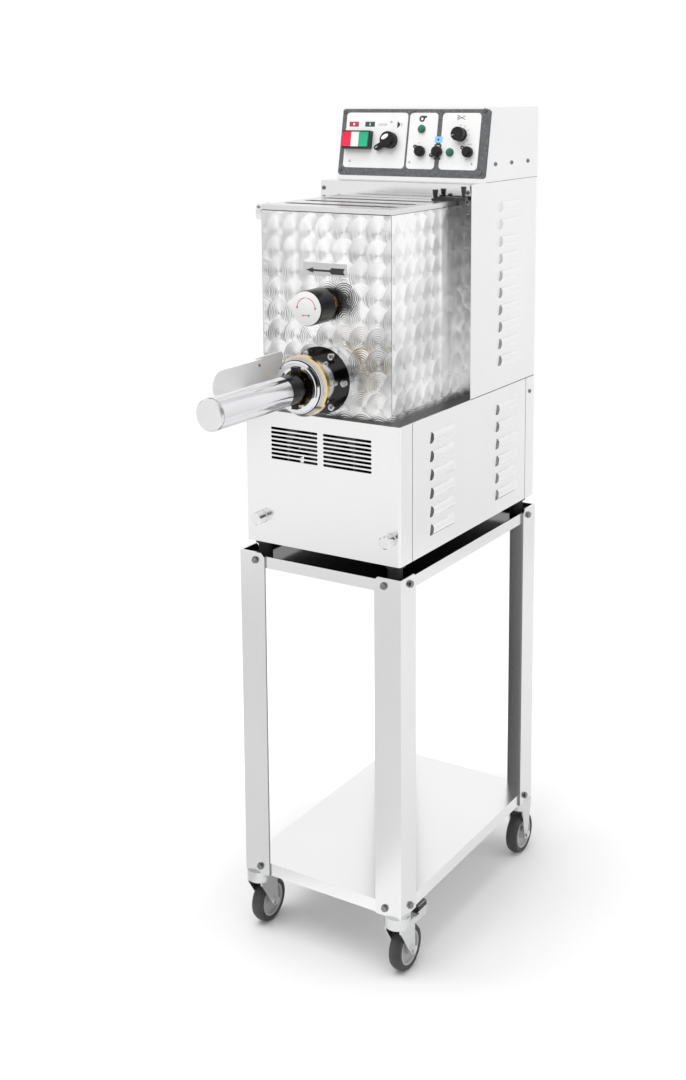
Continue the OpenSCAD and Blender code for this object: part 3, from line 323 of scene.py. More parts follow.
finishes = {
    "stainless": brushedSteel("satinSteel", (0.80, 0.80, 0.805), 2, 0.24),
    "white_steel": brushedSteel("paleSteel", (0.91, 0.91, 0.915), 2, 0.2, 0.04),
    "engine_turned": engineTurned("engineTurnedSteel", spots),
    "chrome": turnedMetal("polishedChrome", (0.82, 0.82, 0.83), 0.07),
    "zinc": brushedSteel("zincPlate", (0.74, 0.745, 0.75), 0, 0.2, 0.12),
    "bronze": turnedMetal("turnedBronze", (0.66, 0.47, 0.22), 0.14, 0.12),
    "black_plastic": moulded("blackPlastic", (0.014, 0.014, 0.014), 0.34),
    "dark_panel": speckled("speckledPanel", (0.075, 0.078, 0.082), (0.26, 0.265, 0.27), 0.42),
    "red_plastic": moulded("redPlastic", (0.80, 0.006, 0.055), 0.3, lift=0.1),
    "green_plastic": moulded("greenPlastic", (0.008, 0.42, 0.21), 0.3, lift=0.1),
    "green_lens": moulded("greenLens", (0.005, 0.13, 0.10), 0.12, strength=0.01, coat=0.2),
    "rubber": moulded("blackRubber", (0.02, 0.02, 0.02), 0.6),
    "tyre": moulded("greyTyre", (0.026, 0.026, 0.026), 0.5, 500.0, 0.12),
    "knob_black": moulded("knobBlack", (0.005, 0.005, 0.005), 0.2, lift=0.08, ior=1.36),
    "motor_paint": moulded("motorPaint", (0.12, 0.15, 0.2), 0.45),
    "gear_steel": turnedMetal("gearSteel", (0.5, 0.5, 0.51), 0.3),
    "dark_screw": turnedMetal("screwSteel", (0.26, 0.26, 0.27), 0.16),
    # Near black: painted shade for the cabinet's underside, and the dark seams between sheets
    "frame_black": moulded("darkSeamsAndPaintedShade", (0.02, 0.02, 0.021), 0.4, 500.0, 0.08),
}
whiteFace = lacquer("whiteFace", (0.86, 0.86, 0.855), 0.34, 0.3, 0.04)
inkBlack = lacquer("inkBlack", (0.02, 0.02, 0.02), 0.4)
inkGrey = lacquer("inkGrey", (0.035, 0.035, 0.037), 0.4)
inkRed = lacquer("inkRed", (0.46, 0.02, 0.08), 0.4)
inkGreen = lacquer("inkGreen", (0.02, 0.075, 0.05), 0.4)
inkBlue = lacquer("inkBlue", (0.26, 0.62, 0.88), 0.4)
inkNavy = lacquer("inkNavy", (0.02, 0.12, 0.30), 0.4)
capSteel = turnedMetal("capSteel", (0.88, 0.88, 0.88), 0.32)
rimGrey = moulded("rimGrey", (0.42, 0.42, 0.42), 0.35)

legSteel = brushedSteel("legSteel", (0.85, 0.85, 0.855), 2, 0.2, 0.05, faces=innerFaces)
railSteel = brushedSteel("railSteel", (0.86, 0.86, 0.865), 0, 0.2, 0.05, faces=upperFaces)
guardSheet = brushedSteel("guardSheet", (0.90, 0.90, 0.905), 1, 0.5, 0.04, metallic=0.1)
barrelSteel = brushedSteel("barrelSteel", (0.82, 0.82, 0.83), 1, 0.1, 0.04, faces=flangeFace)
nut = {"collarY": (cabinetY - 51.2) * mm, "pitch": 1.9 * mm, "groove": 0.4,
       "brass": (0.80, 0.62, 0.33), "chrome": (0.82, 0.82, 0.83)}
special = {"stand_legs": legSteel, "top_rails": railSteel, "cutter_guard": guardSheet,
           "cutter_knife": finishes["knob_black"], "cutter_motor": finishes["knob_black"],
           "extruder_barrel": barrelSteel, "ring_nut": nutMetal("nutMetal", nut),
           # The die's bronze is darkened as painted shade, for the shade deep inside the ring nut
           "die": turnedMetal("dieBronzePaintedShade", (0.22, 0.14, 0.06), 0.25),
           "lid": brushedSteel("lidSteel", (0.92, 0.92, 0.925), 0, 0.16, 0.04),
           "column_front": brushedSteel("columnSteel", (0.82, 0.82, 0.825), 2, 0.1)}

for part in frame["record"]["subparts"]:
    shown = nodes[part["node"]]
    for place in shown.material_slots:
        place.material = special.get(part["node"], finishes[part["material_slot"]])
print("finishes made")


def along(axis):
    # Turns a shape made along z so that it points along the axis
    return Vector((0, 0, 1)).rotation_difference(Vector(axis)).to_matrix().to_4x4()


def at(x, y, z, turn=None):
    # y is measured from the cabinet's front
    return Matrix.Translation((x, y + cabinetY, z)) @ (turn or Matrix())


panelLean = math.radians(10.7)
panelFoot = (263.5, 1177)


def onPanel(x, t, z=0.0, turn=0.0):
    # x across, t up the slope, z out of the control panel
    foot = Matrix.Translation((x, panelFoot[0] + t * math.sin(panelLean) + cabinetY,
                               panelFoot[1] + t * math.cos(panelLean)))
    tip = Matrix.Rotation(math.pi / 2 - panelLean, 4, "X")
    return foot @ tip @ Matrix.Translation((0, 0, z)) @ Matrix.Rotation(math.radians(turn), 4, "Z")


def smoothBy(bm, degrees):
    limit = math.radians(degrees)
    for face in bm.faces:
        face.smooth = True
    for edge in bm.edges:
        edge.smooth = edge.is_manifold and edge.calc_face_angle(math.pi) < limit


def piece(name, bm, material, body, places=(Matrix(),), smooth=35):
    # One object from a shape in mm, repeated at each place, with its place in its mesh
    smoothBy(bm, smooth)
    shape = bpy.data.meshes.new(name + "Shape")
    bm.to_mesh(shape)
    bm.free()
    whole = bmesh.new()
    for place in places:
        first = len(whole.verts)
        whole.from_mesh(shape)
        whole.verts.ensure_lookup_table()
        bmesh.ops.transform(whole, matrix=Matrix.Scale(mm, 4) @ place, verts=whole.verts[first:])
    mesh = bpy.data.meshes.new(name)
    whole.to_mesh(mesh)
    whole.free()
    bpy.data.meshes.remove(shape)
    made = bpy.data.objects.new(name, mesh)
    bpy.context.scene.collection.objects.link(made)
    mesh.materials.append(material)
    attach(made, body)
    return made


def bevelAll(bm, width, segments=2, angle=30):
    edges = [e for e in bm.edges if e.is_manifold and e.calc_face_angle(0) > math.radians(angle)]
    bmesh.ops.bevel(bm, geom=edges, offset=width, affect="EDGES", segments=segments,
                    profile=0.5, material=-1)
    return bm


def block(width, depth, height, width2=0.0, segments=2):
    # A box on z = 0, centred in x and y, with its edges eased
    bm = bmesh.new()
    bmesh.ops.create_cube(bm, size=1.0)
    bmesh.ops.transform(bm, matrix=Matrix.Diagonal((width, depth, height, 1)), verts=bm.verts)
    bmesh.ops.translate(bm, vec=(0, 0, height / 2), verts=bm.verts)
    return bevelAll(bm, width2, segments) if width2 else bm


def disc(radius, height, sides=48, ease=0.0, tip=None, segments=2):
    # A round bar on z = 0; tip is its radius at the top
    bm = bmesh.new()
    bmesh.ops.create_cone(bm, cap_ends=True, segments=sides, radius1=radius,
                          radius2=radius if tip is None else tip, depth=height)
    bmesh.ops.translate(bm, vec=(0, 0, height / 2), verts=bm.verts)
    return bevelAll(bm, ease, segments) if ease else bm


def spun(profile, steps=64, sweep=360.0):
    # A section in x and z turned about z, closed
    bm = bmesh.new()
    points = [bm.verts.new((r, 0, z)) for r, z in profile]
    edges = [bm.edges.new((a, b)) for a, b in zip(points, points[1:] + points[:1])]
    bmesh.ops.spin(bm, geom=points + edges, cent=(0, 0, 0), axis=(0, 0, 1),
                   angle=math.radians(sweep), steps=steps, use_merge=True)
    bmesh.ops.remove_doubles(bm, verts=bm.verts, dist=0.0005)
    bmesh.ops.dissolve_degenerate(bm, edges=bm.edges, dist=0.0005)
    bmesh.ops.recalc_face_normals(bm, faces=bm.faces)
    return bm


def flatShape(outlines, thickness=0.2):
    # A thin plate from closed outlines; an outline inside another is a hole
    curve = bpy.data.curves.new("outline", "CURVE")
    curve.dimensions, curve.fill_mode = "2D", "BOTH"
    curve.extrude = thickness / 2
    for points in outlines:
        spline = curve.splines.new("POLY")
        spline.points.add(len(points) - 1)
        for point, (x, y) in zip(spline.points, points):
            point.co = (x, y, 0, 1)
        spline.use_cyclic_u = True
    return filled(curve, thickness)


def filled(curve, thickness):
    holder = bpy.data.objects.new("outline", curve)
    bpy.context.scene.collection.objects.link(holder)
    mesh = bpy.data.meshes.new_from_object(holder)
    bm = bmesh.new()
    bm.from_mesh(mesh)
    bmesh.ops.remove_doubles(bm, verts=bm.verts, dist=0.0005)
    bmesh.ops.recalc_face_normals(bm, faces=bm.faces)
    bmesh.ops.translate(bm, vec=(0, 0, thickness / 2), verts=bm.verts)
    bpy.data.objects.remove(holder)
    bpy.data.curves.remove(curve)
    bpy.data.meshes.remove(mesh)
    return bm


def glyph(text, size, thickness=0.15):
    # A plain number or letter, centred
    curve = bpy.data.curves.new("glyph", "FONT")
    curve.body, curve.size, curve.extrude = text, size, thickness / 2
    curve.align_x, curve.align_y = "CENTER", "CENTER"
    return filled(curve, thickness)


def ring(radius, count=40, x=0.0, y=0.0, start=0.0, sweep=360.0):
    full = sweep >= 360
    turns = [math.radians(start + sweep * i / (count if full else count - 1))
             for i in range(count)]
    return [(x + radius * math.cos(a), y + radius * math.sin(a)) for a in turns]


def roundedBox(width, height, radius, x=0.0, y=0.0, count=7):
    corners = [(1, 1, 0), (-1, 1, 90), (-1, -1, 180), (1, -1, 270)]
    return [point for sx, sy, start in corners
            for point in ring(radius, count, x + sx * (width / 2 - radius),
                              y + sy * (height / 2 - radius), start, 90)]


def strip(points, width):
    # The outline of a line of even width through the points
    sides = [[], []]
    for i, point in enumerate(points):
        before, after = points[max(i - 1, 0)], points[min(i + 1, len(points) - 1)]
        run = Vector((after[0] - before[0], after[1] - before[1])).normalized() * width / 2
        sides[0].append((point[0] - run.y, point[1] + run.x))
        sides[1].append((point[0] + run.y, point[1] - run.x))
    return sides[0] + sides[1][::-1]


def cut(bm, cutter):
    # Takes the cutter's shape out of bm
    target, tool = (bpy.data.objects.new(n, bpy.data.meshes.new(n)) for n in ("target", "tool"))
    for holder, shape in ((target, bm), (tool, cutter)):
        shape.to_mesh(holder.data)
        shape.free()
        bpy.context.scene.collection.objects.link(holder)
    boolean = target.modifiers.new("cut", "BOOLEAN")
    boolean.operation, boolean.object, boolean.solver = "DIFFERENCE", tool, "EXACT"
    bpy.context.view_layer.update()
    mesh = bpy.data.meshes.new_from_object(
        target.evaluated_get(bpy.context.evaluated_depsgraph_get()))
    result = bmesh.new()
    result.from_mesh(mesh)
    for holder in (target, tool):
        old = holder.data
        bpy.data.objects.remove(holder)
        bpy.data.meshes.remove(old)
    bpy.data.meshes.remove(mesh)
    return result


def joined(*shapes):
    whole = bmesh.new()
    for bm, place in shapes:
        bmesh.ops.transform(bm, matrix=place, verts=bm.verts)
        mesh = bpy.data.meshes.new("joined")
        bm.to_mesh(mesh)
        bm.free()
        whole.from_mesh(mesh)
        bpy.data.meshes.remove(mesh)
    return whole


panel = {"face": 2.0, "ink": 0.15, "sheet": 0.22,
         "fields": [(-124.8, -11.0), (-7.4, 43.0), (51.2, 118.0)], "low": 18.3, "high": 107.0,
         "corner": 6.0, "spindle": 3.4}
spindles = {"main_selector": (-39.5, 62.5), "speed_dial": (85, 73), "fan_knob": (17, 46),
            "drive_knob": (47.5, 46), "cutter_knob": (101, 46)}
switchAt = (-99, 62.5)


def panelPiece(name, outlines, material, x, t, height=None, thickness=None):
    thickness = thickness or panel["ink"]
    height = panel["face"] + panel["sheet"] if height is None else height
    return piece(name, flatShape(outlines, thickness), material, "base",
                 places=[onPanel(x, t, height - 0.02)])


for number, (left, right) in enumerate(panel["fields"]):
    middle, half = (left + right) / 2, (panel["low"] + panel["high"]) / 2
    outlines = [roundedBox(right - left, panel["high"] - panel["low"], panel["corner"])]
    for x, t in spindles.values():
        if left < x < right:
            outlines.append(ring(panel["spindle"], 20, x - middle, t - half))
    if number == 0:
        outlines.append(roundedBox(51.6, 29.1, 0.5, switchAt[0] - middle, switchAt[1] - half))
    piece(f"panelField{number + 1}", flatShape(outlines, panel["sheet"]), whiteFace,
          "base", places=[onPanel(middle, half, panel["face"] - 0.02)])

overLabel = panel["face"] + panel["sheet"] + panel["ink"]
signs = {"stop": (-110.2, 88.2), "start": (-80.2, 88.3), "knead": (-56.4, 88.0),
         "rest": (-40.9, 92.2), "extrude": (-27.0, 88.0), "blower": (14.5, 97.5),
         "scissors": (84.0, 99.6), "blue": (47.3, 65.0), "upper": (46.8, 55.2),
         "lower": (47.3, 35.3)}

panelPiece("stopLabel", [roundedBox(17.6, 8.0, 0.8)], inkRed, *signs["stop"])
panelPiece("startLabel", [roundedBox(17.8, 8.0, 0.8)], inkGreen, *signs["start"])
panelPiece("stopSign", [roundedBox(3.6, 3.6, 0.3)], whiteFace, *signs["stop"], overLabel)
panelPiece("startSign", [roundedBox(1.5, 4.2, 0.3)], whiteFace, *signs["start"], overLabel)
wave = [(-7.4 + 1.85 * i, 1.9 if i % 2 else -1.9) for i in range(9)]
panelPiece("kneadSign", [strip(wave, 0.75)], inkGrey, *signs["knead"])
panelPiece("restSign", [ring(1.7, 24), ring(1.0, 20)], inkGrey, *signs["rest"])
panelPiece("extrudeSign", [[(-2.6, -5.0), (-1.6, -5.0), (2.4, -1.3), (2.4, 1.3), (-1.6, 5.0),
                            (-2.6, 5.0)]], inkBlack, *signs["extrude"])
panelPiece("extrudeRays", [strip([(3.6, 1.6), (6.6, 3.0)], 0.5), strip([(3.8, 0), (7.2, 0)], 0.5),
                           strip([(3.6, -1.6), (6.6, -3.0)], 0.5)], inkGrey, *signs["extrude"])
panelPiece("blowerSign", [ring(5.0, 36), ring(2.3, 28)], inkBlack, *signs["blower"])
panelPiece("blowerOutlet", [[(-0.6, 5.0), (8.6, 4.4), (8.2, 2.0), (4.6, 0.9), (2.6, 3.6)]],
           inkBlack, *signs["blower"])
panelPiece("scissorBlades", [strip([(-3.6, -1.5), (6.6, 2.9)], 0.85)], inkBlack,
           *signs["scissors"])
panelPiece("scissorBladesOther", [strip([(-3.6, 1.5), (6.6, -2.9)], 0.85)], inkBlack,
           *signs["scissors"])
for side in (-1, 1):
    panelPiece("scissorRingLower" if side < 0 else "scissorRingUpper",
               [ring(1.9, 24, -5.4, side * 2.1), ring(1.2, 20, -5.4, side * 2.1)], inkGrey,
               *signs["scissors"])
panelPiece("blueLabel", [roundedBox(13.6, 9.8, 0.5)], inkBlue, *signs["blue"],
           panel["face"] + panel["sheet"])
panelPiece("blueLabelSign", [ring(1.9, 24, -0.6, 0.2)], inkNavy, *signs["blue"], overLabel)
panelPiece("upperKnobLabel", [roundedBox(12.4, 5.0, 0.4)], inkBlack, *signs["upper"])
panelPiece("upperKnobSign", [roundedBox(6.5, 1.2, 0.3)], whiteFace, *signs["upper"], overLabel)
panelPiece("lowerKnobLabel", [roundedBox(12.0, 3.4, 0.3)], inkGrey, *signs["lower"])
panelPiece("fanMarks", [strip([(-1.5, 0), (1.5, 0)], 0.5)], inkGrey, 12.5, 59.5)
panelPiece("cutterMarks", [strip([(0, 0), (7.5, 0.9)], 0.5)], inkGrey, 98.6, 58.2)
panelPiece("cutterRest", [strip([(-1.5, 0), (1.5, 0)], 0.5)], inkGrey, 98.4, 34.6)

scale = {"inner": 11.9, "tick": 0.9, "numbers": 14.8, "size": 3.1, "steps": 8,
         "start": 130.0, "sweep": 230.0}
dialX, dialT = spindles["speed_dial"]
ticks, digits = [], []
for step in range(scale["steps"]):
    a = math.radians(scale["start"] - scale["sweep"] * step / (scale["steps"] - 1))
    out = Vector((math.cos(a), math.sin(a), 0))
    ticks.append((block(0.4, scale["tick"], panel["ink"]),
                  Matrix.Translation(out * scale["inner"])
                  @ Matrix.Rotation(a - math.pi / 2, 4, "Z")))
    digits.append((glyph(str(step + 1), scale["size"], panel["ink"]),
                   Matrix.Translation(out * scale["numbers"])))
printed = panel["face"] + panel["sheet"] - 0.02
piece("dialTicks", joined(*ticks), inkGrey, "base", places=[onPanel(dialX, dialT, printed)])
piece("dialNumbers", joined(*digits), inkGrey, "base", places=[onPanel(dialX, dialT, printed)])
fieldNumbers = [(glyph(text, 5.2, panel["ink"]), Matrix.Translation((x, t, 0)))
                for text, x, t in (("10", -112.8, 28.5), ("16", -2.6, 28.6), ("4", 108.2, 27.9))]
piece("fieldNumbers", joined(*fieldNumbers), inkGrey, "base", places=[onPanel(0, 0, printed)])
print("control panel drawn")


switch = {"button": (16.0, 23.5), "pitch": 16.0, "window": (14.4, 23.5), "top": 15.3,
          "ease": 1.2}


def pushCap(width, height, top, low):
    # A push button's cap: eased edges and a shallow dish
    bm = block(width, height, top - low)
    lid = max(bm.faces, key=lambda f: f.calc_center_median().z)
    bmesh.ops.inset_region(bm, faces=[lid], thickness=switch["ease"], depth=0.0)
    bmesh.ops.translate(bm, vec=(0, 0, -0.7), verts=lid.verts)
    bevelAll(bm, 0.45, 2, 20)
    bmesh.ops.translate(bm, vec=(0, 0, low), verts=bm.verts)
    return bm


for node, side, slot in (("stop_button", -1, "red_plastic"), ("start_button", 1, "green_plastic")):
    cap = joined((pushCap(*switch["button"], switch["top"], 9.3), Matrix()),
                 (disc(4.0, 16.0, 32), Matrix.Translation((0, 0, -5))))
    made = piece("stopCap" if side < 0 else "startCap", cap, finishes[slot],
                 "stop" if side < 0 else "start",
                 [onPanel(switchAt[0] + side * switch["pitch"], switchAt[1])])
    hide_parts(node)
piece("switchWindow", pushCap(*switch["window"], 15.0, 11.5), whiteFace, "base",
      places=[onPanel(*switchAt)])

knobs = {
    "main_selector": {"name": "mainKnob", "body": "selector", "d": 27.0, "height": 14.0,
                      "reach": 28.6, "nose": 8.4, "turn": 211},
    "fan_knob": {"name": "fanKnob", "body": "fan_switch", "turn": 140},
    "drive_knob": {"name": "driveKnob", "body": "drive_switch", "turn": 213},
    "cutter_knob": {"name": "cutterKnob", "body": "cutter_switch", "turn": 144},
}
smallKnob = {"d": 17.0, "height": 9.0, "reach": 14.0, "nose": 5.6}


def pointerKnob(d, height, reach, nose, foot=2.5):
    # A round crowned body with a rounded finger that points to the setting
    r = d / 2 - 0.1
    body = spun([(0, 0), (r - 0.4, 0), (r, 0.5), (r, height - 2.4), (r - 0.5, height - 1.2),
                 (r - 1.7, height - 0.4), (r * 0.55, height - 0.1), (0, height)], 64)
    finger = flatShape([ring(nose / 2, 13, reach - nose / 2, 0, -90, 180)
                        + ring(nose / 2, 9, 0, 0, 90, 180)], height * 0.58)
    bevelAll(finger, nose * 0.13, 3, 50)
    lift = Matrix.Translation((0, 0, foot))
    return joined((body, lift), (finger, Matrix.Translation((0, 0, foot + 0.6))),
                  (disc(3.0, 9.0, 24), Matrix.Translation((0, 0, -6))))


for node, knob in knobs.items():
    shape = {**smallKnob, **knob}
    place = onPanel(*spindles[node], 0, knob["turn"])
    made = piece(knob["name"], pointerKnob(*(shape[k] for k in ("d", "height", "reach", "nose"))),
                 finishes["knob_black"], knob["body"], [place])
    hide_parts(node)
    line = block(shape["nose"] * 0.55, shape["nose"] * 0.12, 0.1)
    piece(knob["name"] + "Mark", line, whiteFace, knob["body"], places=[place @ Matrix.Translation(
        (shape["reach"] - shape["nose"] * 0.6, 0, 3.1 + shape["height"] * 0.58 - 0.03))])

# A pale oval on the main selector's crown, beside its finger: a painted highlight
knobHighlightShape = flatShape([[(6.9 * math.cos(a), 3.4 * math.sin(a))
                    for a in (math.tau * i / 40 for i in range(40))]], 0.3)
piece("mainKnobPaintedHighlight", knobHighlightShape, whiteFace, "selector", places=[
    onPanel(*spindles["main_selector"], 0, 211) @ Matrix.Translation((0.6, -5.4, 16.22))])

speedDial = {"r": 10.9, "waist": 9.9, "height": 14.0, "ribs": 36}


def dialKnob():
    # A foot disc, a waist and a finely ribbed cap
    r, waist, h = speedDial["r"], speedDial["waist"], speedDial["height"]
    bm = spun([(0, 0), (r, 0), (r, 2.6), (waist, 3.4), (waist, 5.6), (r, 6.6), (r, h - 0.9),
               (r - 0.9, h), (0, h)], speedDial["ribs"] * 2)
    for v in bm.verts:
        around = round(math.atan2(v.co.y, v.co.x) / math.tau * speedDial["ribs"] * 2)
        if around % 2 and v.co.z > 6 and math.hypot(v.co.x, v.co.y) > waist:
            v.co.x, v.co.y = v.co.x * 0.965, v.co.y * 0.965
    return joined((bm, Matrix.Translation((0, 0, 2.5))),
                  (disc(3.0, 9.0, 24), Matrix.Translation((0, 0, -6))))


made = piece("dialKnob", dialKnob(), finishes["knob_black"], "dial",
             [onPanel(dialX, dialT)], 30)
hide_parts("speed_dial")
piece("dialMark", block(3.6, 0.7, 0.12), whiteFace, "dial",
      places=[onPanel(dialX, dialT, 0, 200) @ Matrix.Translation((7.4, 0, 16.45))])
print("switch and knobs made")


def crossScrew(d=7.0, height=2.4):
    # A domed head with a cross recess
    head = spun([(0, 0), (d / 2, 0), (d / 2, height * 0.25), (d * 0.43, height * 0.62),
                 (d * 0.27, height * 0.9), (0, height)], 32)
    for turn in (0, 90):
        arm = block(d * 0.56, d * 0.13, height)
        bmesh.ops.transform(arm, matrix=Matrix.Rotation(math.radians(turn), 4, "Z")
                            @ Matrix.Translation((0, 0, height * 0.42)), verts=arm.verts)
        head = cut(head, arm)
    return head


frameScrews = [(-129.5, 15), (-129.5, 109), (-3, 110), (123, 111), (124, 15)]
screwPlaces = [onPanel(x, t, panel["face"], 20 + 31 * i) for i, (x, t) in enumerate(frameScrews)]
for side in (-1, 1):
    out = along((side, 0, 0))
    spin = Matrix.Rotation(0.6 * side, 4, "Z")
    for y in (295.5, 352.5, 412.5):
        screwPlaces.append(at(side * 135, y, 1204, out @ spin))
    screwPlaces.append(at(side * 135, 430, 822, out))
    for i in range(3):
        screwPlaces.append(at(side * 129, 215, 1165 - 15 * i, along((0, -1, 0)) @ spin))
made = piece("crossScrews", crossScrew(), finishes["dark_screw"], "base",
             screwPlaces, 30)
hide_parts("panel_screws")


seams = {"width": 1.3, "fine": 0.7, "rise": 0.14, "wall": 134.9, "hopper": 111.4, "lid": 1145,
         "cabinet": (641, 847), "front": 35.5, "rear": 415}


def seamStrip(start, end, out, width=seams["width"]):
    # A thin dark line between two sheets, from start to end, standing out of its face
    run = Vector(end) - Vector(start)
    across = Vector(out).cross(run.normalized())
    turn = Matrix((across, run.normalized(), Vector(out))).transposed().to_4x4()
    return block(width, run.length, seams["rise"]), at(*(Vector(start) + Vector(end)) / 2) @ turn


lines = []
foot, top = seams["cabinet"]
for side in (-1, 1):
    out, x, skin = (side, 0, 0), side * seams["wall"], side * seams["hopper"]
    lines += [seamStrip((x, y, foot), (x, y, top), out) for y in (seams["front"], seams["rear"])]
    lines += [seamStrip((x, 216, top), (x, 445, top), out),
              seamStrip((x, 264, 1177), (x, 449, 1177), out, seams["fine"]),
              seamStrip((skin, 18, seams["lid"]), (skin, 211, seams["lid"]), out, 0.8)]
    corner = Vector((side, -1, 0)).normalized()
    lines.append(seamStrip((side * 111.35, 17.65, 848), (side * 111.35, 17.65, 1144), corner,
                           seams["fine"]))
lines.append(seamStrip((-111, 17.6, seams["lid"]), (111, 17.6, seams["lid"]), (0, -1, 0)))
piece("sheetSeams", joined(*lines), finishes["frame_black"], "base", smooth=10)


def hexBolt(d=10.0, height=4.0, grip=5.0):
    # A chamfered hexagon head on a washer, and its shank
    head = disc(d / 2, height, 6)
    rim = height + 0.01
    head = cut(head, spun([(d * 0.455, rim), (d * 0.7, rim), (d * 0.7, height - 1.3)], 36))
    washer = disc(d * 0.58, 0.7, 36, 0.2)
    shank = disc(3.0, grip, 24)
    return joined((head, Matrix()), (washer, Matrix()), (shank, Matrix.Translation((0, 0, -grip))))


stand = {"w": 283.0, "front": -10.0, "back": 443.0, "levels": (112.5, 614), "frontX": 28,
         "sideY": 27}
boltPlaces = []
for side in (-1, 1):
    for end, outY in ((stand["front"], -1), (stand["back"], 1)):
        for z in stand["levels"]:
            turn = Matrix.Rotation(0.25 * side + 0.4 * outY + z, 4, "Z")
            boltPlaces.append(at(side * (stand["w"] / 2 - stand["frontX"]), end, z,
                                 along((0, outY, 0)) @ turn))
            boltPlaces.append(at(side * stand["w"] / 2, end - outY * stand["sideY"], z,
                                 along((side, 0, 0)) @ turn))
made = piece("standBolts", hexBolt(), finishes["dark_screw"], "base",
             boltPlaces, 30)
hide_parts("stand_bolts")


def socketScrew(d=10.0, height=8.0):
    # A round head with a hexagon socket
    head = disc(d / 2, height, 36, 0.5)
    hollow = disc(d * 0.29, height, 6)
    bmesh.ops.translate(hollow, vec=(0, 0, height - 4), verts=hollow.verts)
    return cut(head, hollow)


flange = {"circle": 43.0, "y": 4.0, "z": 902.0}
socketPlaces = []
for i in range(6):
    a = math.radians(60 * i)
    socketPlaces.append(at(flange["circle"] * math.cos(a), flange["y"],
                           flange["z"] - flange["circle"] * math.sin(a),
                           along((0, -1, 0)) @ Matrix.Rotation(0.5 * i, 4, "Z")))
made = piece("flangeScrews", socketScrew(), finishes["zinc"], "base", socketPlaces, 30)
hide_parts("flange_bolts")
print("screws and bolts made")


caster = {"r": 35.5, "w": 20.0, "axle": 4.05, "rim": 25.6, "web": 5.0}


def tyreShape():
    r, half, rim = caster["r"], caster["w"] / 2, caster["rim"]
    side = [(rim, 1.2), (r - 5.6, 0.4), (r - 4, 0), (r - 2.6, 0.8), (r - 1.5, 3), (r - 0.5, 5.5),
            (r, 8)]
    return spun([(x, inset - half) for x, inset in side]
                + [(x, half - inset) for x, inset in side[::-1]], 96)


def rimShape():
    # A raised rim, a recessed web and a hub with a bore
    half, rim, web = caster["w"] / 2, caster["rim"], caster["web"]
    side = [(caster["axle"], half + 1), (8.5, half + 1), (9.2, half + 0.2), (9.6, web),
            (rim - 3.6, web), (rim - 2.9, half - 1.6), (rim - 2.3, half - 0.9),
            (rim + 0.1, half - 0.9)]
    return spun([(x, -z) for x, z in side] + side[::-1], 96)


axles = {"front_left": (-126.5, 27.5), "front_right": (126.5, 27.5), "rear_left": (-126.5, 428),
         "rear_right": (126.5, 428)}
for corner, (x, y) in axles.items():
    title = corner.replace("_", " ").title().replace(" ", "")
    hub = at(x, y, caster["r"], along((1, 0, 0)))
    tyre = piece("tyre" + title, tyreShape(), finishes["tyre"], "roller_" + corner, [hub])
    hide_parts("wheel_" + corner)
    piece("rim" + title, rimShape(), rimGrey, "roller_" + corner, places=[hub], smooth=30)

pad = {"w": 20.4, "l": 24.6, "z": 82.6, "h": 7.2, "ribs": 6}
padShapes = [(block(pad["w"], pad["l"], pad["h"], 0.8), Matrix())]
for i in range(pad["ribs"]):
    y = (i + 0.5) * pad["l"] / pad["ribs"] - pad["l"] / 2
    padShapes.append((block(pad["w"] - 3, 1.8, 1.4, 0.4),
                      Matrix.Translation((0, y, pad["h"] - 0.6))))
piece("brakePad", joined(*padShapes), finishes["rubber"], "brake",
      [at(126.5, 64.5, pad["z"])])
print("casters made")


mixKnob = {"r": 25.75, "front": -32.5, "z": 1012.0, "arc": 15.4, "line": 1.0}
front = Matrix.Rotation(math.pi / 2, 4, "X")  # stands a plate drawn in x and y up to face the front


def knobPrint(name, outlines):
    piece(name, flatShape(outlines, 0.12), inkRed, "mixer_lock",
          places=[at(0, mixKnob["front"] - 0.66, mixKnob["z"], front)])


piece("mixKnobFace", disc(mixKnob["r"] - 1.0, 0.8, 72, 0.3), whiteFace, "mixer_lock",
      places=[at(0, mixKnob["front"] + 0.1, mixKnob["z"], front)])
knobPrint("mixKnobArcs", [strip(ring(mixKnob["arc"], 18, 0, 0, start, 76), mixKnob["line"])
                          for start in (94, 10)])
heads = []
for turn in (176, 4):
    a = math.radians(turn)
    cx, cy = mixKnob["arc"] * math.cos(a), mixKnob["arc"] * math.sin(a)
    heads.append([(cx - 1.9, cy + 1.2), (cx + 1.9, cy + 1.2), (cx, cy - 2.8)])
knobPrint("mixKnobHeads", heads)
knobPrint("mixKnobSign", [strip([(-6.8, -10.4), (6.8, -9.6)], 1.0)])
knobPrint("mixKnobSignEnds", [strip([(-5.6, -8.6), (-5.0, -11.8)], 0.9),
                              strip([(5.0, -8.0), (4.2, -12.6)], 0.9)])

arrow = {"x": 0.3, "z": 1060.6, "plate": (76.3, 19.0), "plateX": -0.7, "plateZ": 1062.5}
plateLook = lacquer("stickerFilm", (0.60, 0.60, 0.60), 0.28, 0.4)
piece("arrowPlate", flatShape([roundedBox(*arrow["plate"], 1.0)], 0.12), plateLook, "base",
      places=[at(arrow["plateX"], hopperFront + 0.02, arrow["plateZ"], front)])
piece("arrowSign", flatShape([[(-33.5, 0), (-20.6, 4.1), (-20.6, 1.5), (7.5, 1.5), (11.0, 4.7),
                               (33.6, 4.7), (30.8, 0), (33.6, -4.7), (11.0, -4.7), (7.5, -1.5),
                               (-20.6, -1.5), (-20.6, -4.1)]], 0.12), inkBlack, "base",
      places=[at(arrow["x"], hopperFront - 0.08, arrow["z"], front)])

